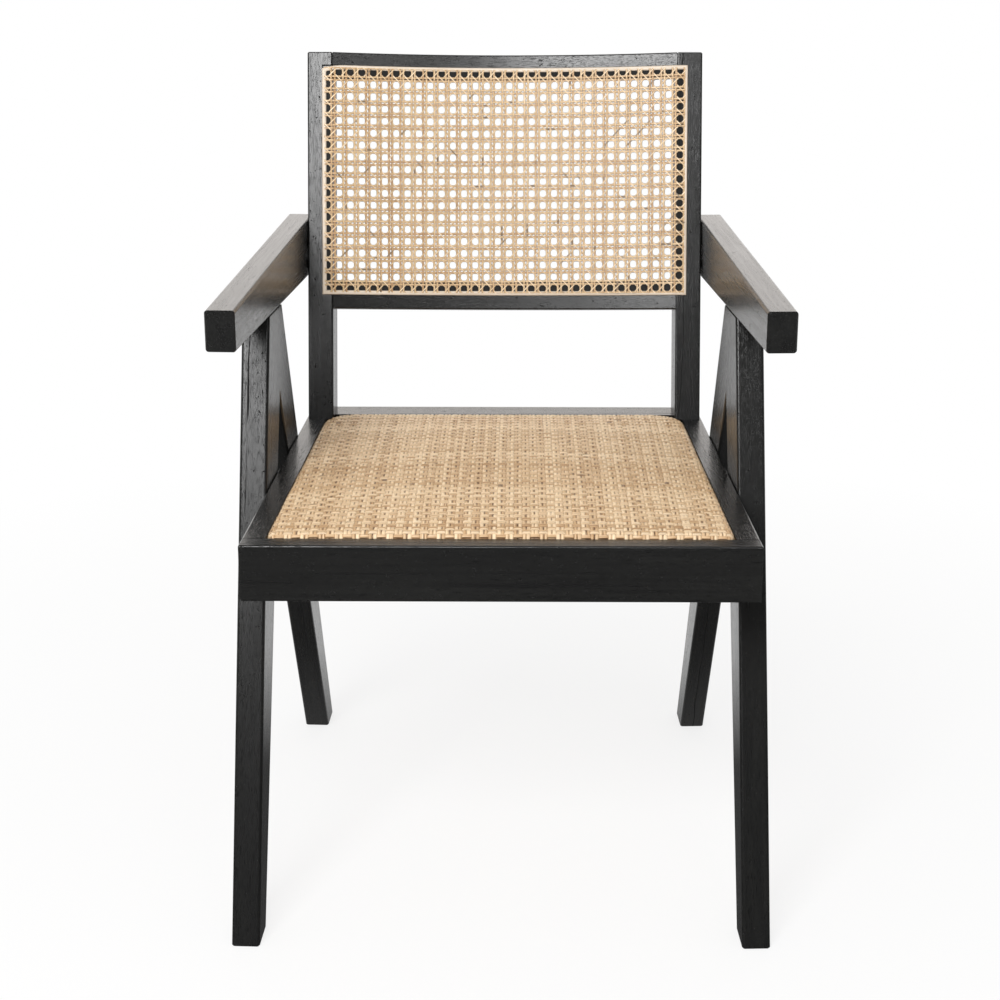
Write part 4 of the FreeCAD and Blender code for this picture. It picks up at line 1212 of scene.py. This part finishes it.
    def strands(self, name: str, lengthwise: bool) -> Object:
        """Weave the strands of one direction, two over and two under.

        Args:
            name: name of the piece.
            lengthwise: whether they run from front to back.

        Returns:
            The strands as one piece, laid over the pad.
        """
        block = 2 * self.pitch
        blocks = self.count // 2
        piece = strand(name, (self.strand_width, blocks * block, self.strand_thick), self.strand_crown,
                       (blocks, self.block_lengths))
        size = len(piece.data.vertices)
        flat = points_of(piece) / MM
        across = np.tile(flat[:, 0] / self.strand_width + 0.5, self.count)
        along = np.tile(flat[:, 1], self.count)
        repeat(piece, self.count, (self.pitch * MM, 0, 0))
        number = np.arange(self.count).repeat(size)
        flat = points_of(piece) / MM
        flat[:, 0] -= (self.count - 1) * self.pitch / 2
        turn = np.pi * (flat[:, 1] / block + 0.5 * (blocks + 1))
        over = np.where((number // 2) % 2 == 0, 1.0, -1.0) * (1 if lengthwise else -1)
        swing = over * np.clip(self.strand_flat * np.cos(turn), -1, 1)
        flat[:, 1] += self.sharpness * block * np.sin(2 * turn)
        flat[:, 2] += swing * self.strand_thick * 0.5
        tone = scatter(number, self.tone_step, int(lengthwise))
        flat[:, 0] += (across - 0.5) * self.strand_width * self.width_range * (2 * tone - 1)
        flat[:, 0] += sum(
            reach * np.sin(flat[:, 1] / length + number * step) for reach, length, step in self.wanders
        )
        if not lengthwise:
            flat[:, :2] = np.column_stack((-flat[:, 1], flat[:, 0]))
        flat[:, 1] += (self.front + self.rear) / 2
        # rise: how high each point lies; the rattan's material paints shade where it is low
        mark_strands(piece, across, along * MM + tone, tone=tone, rise=0.5 + 0.5 * swing)
        inside, _ = self.edge(flat, self.inset)
        beyond = inside < -self.tail
        move_points(piece, flat * MM)
        with editing(piece) as mesh:
            pick(mesh, "FACE", lambda face: all(beyond[vertex.index] for vertex in face.verts))
            bpy.ops.mesh.delete(type="FACE")
            bpy.ops.mesh.select_all(action="SELECT")
            bpy.ops.mesh.delete_loose()
            bpy.ops.mesh.select_all(action="SELECT")
            bpy.ops.mesh.fill_holes(sides=4)
            bpy.ops.mesh.select_all(action="SELECT")
            bpy.ops.mesh.normals_make_consistent(inside=False)
        self.lay(piece)
        return piece

    def pad(self) -> Object:
        """Model the crowned pad that the strands lie on.

        Returns:
            The pad, closed underneath.
        """
        piece = start("seat_cushion", bpy.ops.mesh.primitive_grid_add, x_subdivisions=self.pad_cells,
                      y_subdivisions=self.pad_cells, size=1.0)
        with editing(piece):
            bpy.ops.mesh.select_all(action="SELECT")
            bpy.ops.mesh.extrude_region_move(TRANSFORM_OT_translate={"value": (0, 0, -self.pad_blank)})
            bpy.ops.mesh.select_all(action="SELECT")
            bpy.ops.mesh.normals_make_consistent(inside=False)
        flat = points_of(piece)
        lower = flat[:, 2] < -self.pad_blank / 2
        v = self.front + (flat[:, 1] + 0.5) * (self.rear - self.front)
        plan = np.column_stack((flat[:, 0] * 2 * self.half(v), v))
        inside, outward = self.edge(plan, self.pad_inset)
        plan += outward * np.minimum(inside, 0)[:, None]
        rounding = self.pad_round * np.clip(1 - np.maximum(inside, 0) / self.round_reach, 0, 1) ** 2
        upper = np.maximum(self.top(plan) - self.pad_drop - rounding, self.pad_foot + self.pad_least)
        self.set_down(piece, plan, np.where(lower, self.pad_foot, upper))
        return piece

    def build(self) -> None:
        """Make the pad and weave the cover over it."""
        # The pad's dark lining is painted shade in the gaps of the weave
        cushion = settle(self.pad(), PadCloth().material(), self.crease)
        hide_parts("seat_pad")
        rattan = SEAT_CANE.material()
        for name, lengthwise in (("seat_strands_lengthwise", True), ("seat_strands_crosswise", False)):
            piece = settle(self.strands(name, lengthwise), rattan, self.crease)
            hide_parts("seat_weave")


@dataclass
class Underside:
    """Seat board, corner blocks, hidden joints and bolts, and the screws that hold the seat down.

    Sizes are in millimetres, and angles are in degrees.
    """

    seat_slope: float = SEAT_SLOPE
    head_radius: float = 4.2
    head_height: float = 2.4
    head_round: float = 1.1
    head_sides: int = 24
    head_steps: int = 3
    recess: Spot = (0.9, 4.6, 1.6)
    sunk: float = 0.3
    apart: float = 10.0
    crease: float = 35.0
    board_cut: int = 3
    first_cut: int = 20

    def screw(self) -> Object:
        """Model the head of a screw, facing down, with its cross recess.

        Returns:
            The head, centred on the origin.
        """
        low = -self.head_height / 2 * MM
        piece = start("block_screw", bpy.ops.mesh.primitive_cylinder_add, vertices=self.head_sides,
                      radius=self.head_radius * MM, depth=self.head_height * MM)
        with editing(piece) as mesh:
            pick(mesh, "EDGE", lambda edge: max(vertex.co.z for vertex in edge.verts) < low / 2)
            bpy.ops.mesh.bevel(offset=self.head_round * MM, segments=self.head_steps)
        width, length, depth = (size * MM for size in self.recess)
        for size in ((width, length, depth), (length, width, depth)):
            cutter = start("recess_cutter", bpy.ops.mesh.primitive_cube_add, size=1.0)
            with editing(cutter):
                bpy.ops.mesh.select_all(action="SELECT")
                bpy.ops.transform.resize(value=size, center_override=ORIGIN)
                bpy.ops.transform.translate(value=(0, 0, low))
            modify(piece, "BOOLEAN", operation="DIFFERENCE", object=cutter, solver="EXACT")
            bpy.data.objects.remove(cutter)
        return piece

    def fasten(self, steel: Material) -> None:
        """Drive two screws through each corner block into the seat board.

        Args:
            steel: finish of the screws.
        """
        pattern = self.screw()
        head = points_of(pattern)
        for end, sign in (("front", -1), ("rear", 1)):
            for name, side in SIDES.items():
                low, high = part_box(f"corner_block_{end}_{name}")
                corner = (high[0] if side > 0 else low[0], high[1] if sign > 0 else low[1])
                third = ((high[0] - low[0]) / 3, (high[1] - low[1]) / 3)
                for number, way in enumerate((-1, 1)):
                    shift = way * self.apart * MM
                    x = corner[0] - side * (third[0] + shift)
                    y = corner[1] - sign * (third[1] - shift)
                    z = low[2] + (high[1] - y) * math.tan(math.radians(self.seat_slope))
                    piece = pattern.copy()
                    piece.data = pattern.data.copy()
                    piece.name = piece.data.name = f"block_screw_{end}_{name}_{number + 1}"
                    bpy.context.scene.collection.objects.link(piece)
                    move_points(piece, head + (x, y, z + (self.sunk - self.head_height / 2) * MM))
                    settle(piece, steel, self.crease)
        bpy.data.objects.remove(pattern)

    def dress(self, nodes: dict[str, Object]) -> None:
        """Give the hidden pieces their wood and metal, and drive the screws.

        Args:
            nodes: CAD pieces by name.
        """
        across, along = Vector((1, 0, 0)), Vector((0, 1, 0))
        coat(nodes["seat_board"], BIRCH_PLY.material("seat_board", along, self.board_cut))
        steel = ZincSteel().material()
        coat(nodes["leg_bolts"], steel)
        self.fasten(steel)
        grains = {
            f"corner_block_{end}_{name}": Vector((1, sign * side, 0)).normalized()
            for end, sign in (("front", 1), ("rear", -1)) for name, side in SIDES.items()
        }
        grains |= {"leg_seam_tenons": along, "arm_post_dowels": across}
        for number, (name, grain) in enumerate(grains.items(), self.first_cut):
            coat(nodes[name], BEECH.material(name, grain, number))


@dataclass(frozen=True)
class Softbox:
    """A soft lamp that the camera doesn't see.

    Its place, its aim and its width and height are in metres. Its radiance is the brightness of
    its face, where one is white.
    """

    name: str
    place: Spot
    aim: Spot
    size: tuple[float, float]
    radiance: float
    tint: str = "#ffffff"

    def hang(self) -> None:
        """Hang the lamp."""
        data = bpy.data.lights.new(self.name, "AREA")
        data.shape, (data.size, data.size_y) = "RECTANGLE", self.size
        # A lamp's watts are spread over four times its area
        data.energy = 4 * self.radiance * self.size[0] * self.size[1]
        data.color = linear(self.tint)[:3]
        lamp = bpy.data.objects.new(self.name, data)
        lamp.location = self.place
        lamp.rotation_euler = (Vector(self.aim) - Vector(self.place)).to_track_quat("-Z", "Y").to_euler()
        lamp.visible_camera = False
        bpy.context.scene.collection.objects.link(lamp)


@dataclass
class Studio:
    """Pale floor, white surroundings, soft lamps and the camera.

    Places are in metres and turns in degrees. A sweep is a range of places and the two strengths
    of white between which it changes.
    """

    lens: float = 73.53
    sensor: float = 36.0
    sight: float = 100.0
    camera_place: Spot = (0.01504, -2.0562, 1.0628)
    camera_turn: tuple[float, float] = (71.607, 0.506)
    surroundings: float = 0.55
    mirror_sweep: tuple[float, ...] = (0.2, 0.8, 0.06, 1.0)
    floor_tone: str = "#efefef"
    floor_roughness: float = 0.9
    floor_size: float = 40.0
    floor_drop: float = 0.0003
    floor_sweep: tuple[float, ...] = (0.4, 1.4, 0.8, 1.0)
    floor_mirror_shade_sweep: tuple[float, ...] = (0.15, 0.5, 0.1, 1.0)
    lamps: tuple[Softbox, ...] = (
        Softbox("key_softbox", (-0.75, -2.45, 2.2), (0.0, 0.2, 0.7), (1.5, 1.0), 12.0),
        Softbox("side_softbox", (-1.0, -2.4, 1.45), (0.0, 0.2, 0.6), (0.6, 0.6), 6.0),
        Softbox("fill_softbox", (0.9, -2.4, 2.25), (0.0, 0.2, 0.7), (0.8, 0.7), 2.4),
        Softbox("rear_softbox", (0.0, 2.6, 1.6), (0.0, 0.0, 0.5), (3.6, 2.2), 0.55, "#fff3e8"),
    )

    def camera(self) -> None:
        """Set the camera at the photograph's viewing angle."""
        data = bpy.data.cameras.new("camera")
        data.lens, data.sensor_width, data.clip_end = self.lens, self.sensor, self.sight
        camera = bpy.data.objects.new("camera", data)
        camera.location = self.camera_place
        tilt, pan = (math.radians(turn) for turn in self.camera_turn)
        camera.rotation_euler = (tilt, 0, pan)
        bpy.context.scene.collection.objects.link(camera)
        bpy.context.scene.camera = camera

    def world(self) -> None:
        """Surround the chair with white: plain to the camera, brighter behind than in front for gloss."""
        world = bpy.data.worlds.new("studio")
        bpy.context.scene.world = world
        world.use_nodes = True
        tree = world.node_tree
        path = add(tree, "LightPath").outputs
        way = add(tree, "SeparateXYZ", {"Vector": add(tree, "TexCoord").outputs["Generated"]})
        mirrored = add(tree, "MapRange", {"Value": way.outputs[1], **dict(zip(SWEEP, self.mirror_sweep))})
        plain = add(tree, "Math", {
            0: path["Is Camera Ray"], 1: path["Is Transmission Ray"],
        }, operation="MAXIMUM")
        glossy = add(tree, "Mix", {
            0: path["Is Glossy Ray"], 2: self.surroundings, 3: mirrored,
        }, data_type="FLOAT")
        strength = add(tree, "Mix", {0: plain, 2: glossy, 3: 1.0}, data_type="FLOAT")
        feed(tree, tree.nodes["Background"], {"Color": linear("#ffffff"), "Strength": strength})

    def floor(self) -> None:
        """Lay the pale floor, lifted towards white for the camera, with the chair's shadow on it. In
        reflections it glows, with painted shade dimming it under and in front of the chair.
        """
        floor = start("floor", bpy.ops.mesh.primitive_plane_add, size=self.floor_size,
                      location=(0, 0, -self.floor_drop))
        material, tree, shader = blank("white_paper_floor", {
            "Roughness": self.floor_roughness, "Base Color": linear(self.floor_tone),
        })
        path = add(tree, "LightPath").outputs
        place = add(tree, "TexCoord").outputs["Object"]
        away = add(tree, "VectorMath", {0: place}, operation="LENGTH").outputs["Value"]
        far = add(tree, "MapRange", {"Value": away, **dict(zip(SWEEP, self.floor_sweep))})
        # Painted shade: in reflections the floor's glow is dimmed under and in front of the chair, standing
        # in for the chair's shadow and the unlit front of the studio
        depth = add(tree, "SeparateXYZ", {"Vector": place}).outputs[1]
        mirrored = add(tree, "MapRange", {"Value": depth, **dict(zip(SWEEP, self.floor_mirror_shade_sweep))})
        strength = add(tree, "Mix", {0: path["Is Glossy Ray"], 2: 1.0, 3: mirrored}, data_type="FLOAT")
        glow = add(tree, "Emission", {"Color": linear("#ffffff"), "Strength": strength})
        seen = add(tree, "Math", {0: path["Is Camera Ray"], 1: far}, operation="MULTIPLY")
        lift = add(tree, "Math", {0: seen, 1: path["Is Glossy Ray"]}, operation="MAXIMUM")
        lifted = add(tree, "MixShader", {0: lift, 1: shader, 2: glow})
        # Seen from below the floor is clear, so that the underside shows
        below = add(tree, "NewGeometry").outputs["Backfacing"]
        clear = add(tree, "MixShader", {0: below, 1: lifted, 2: add(tree, "BsdfTransparent")})
        feed(tree, tree.nodes["Material Output"], {"Surface": clear})
        floor.data.materials.append(material)

    def build(self) -> None:
        """Set up the whole studio."""
        self.camera()
        self.world()
        self.floor()
        for lamp in self.lamps:
            lamp.hang()
        bpy.context.scene.view_settings.view_transform = "Standard"


def main() -> None:
    """Build the chair's looks on its CAD frame."""
    logging.basicConfig(level=logging.INFO, format="%(name)s %(message)s")
    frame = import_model()
    DarkFrame().dress(frame["nodes"])
    Underside().dress(frame["nodes"])
    CaneBack().build()
    WovenSeat().build()
    Studio().build()


if __name__ == "__main__":
    main()
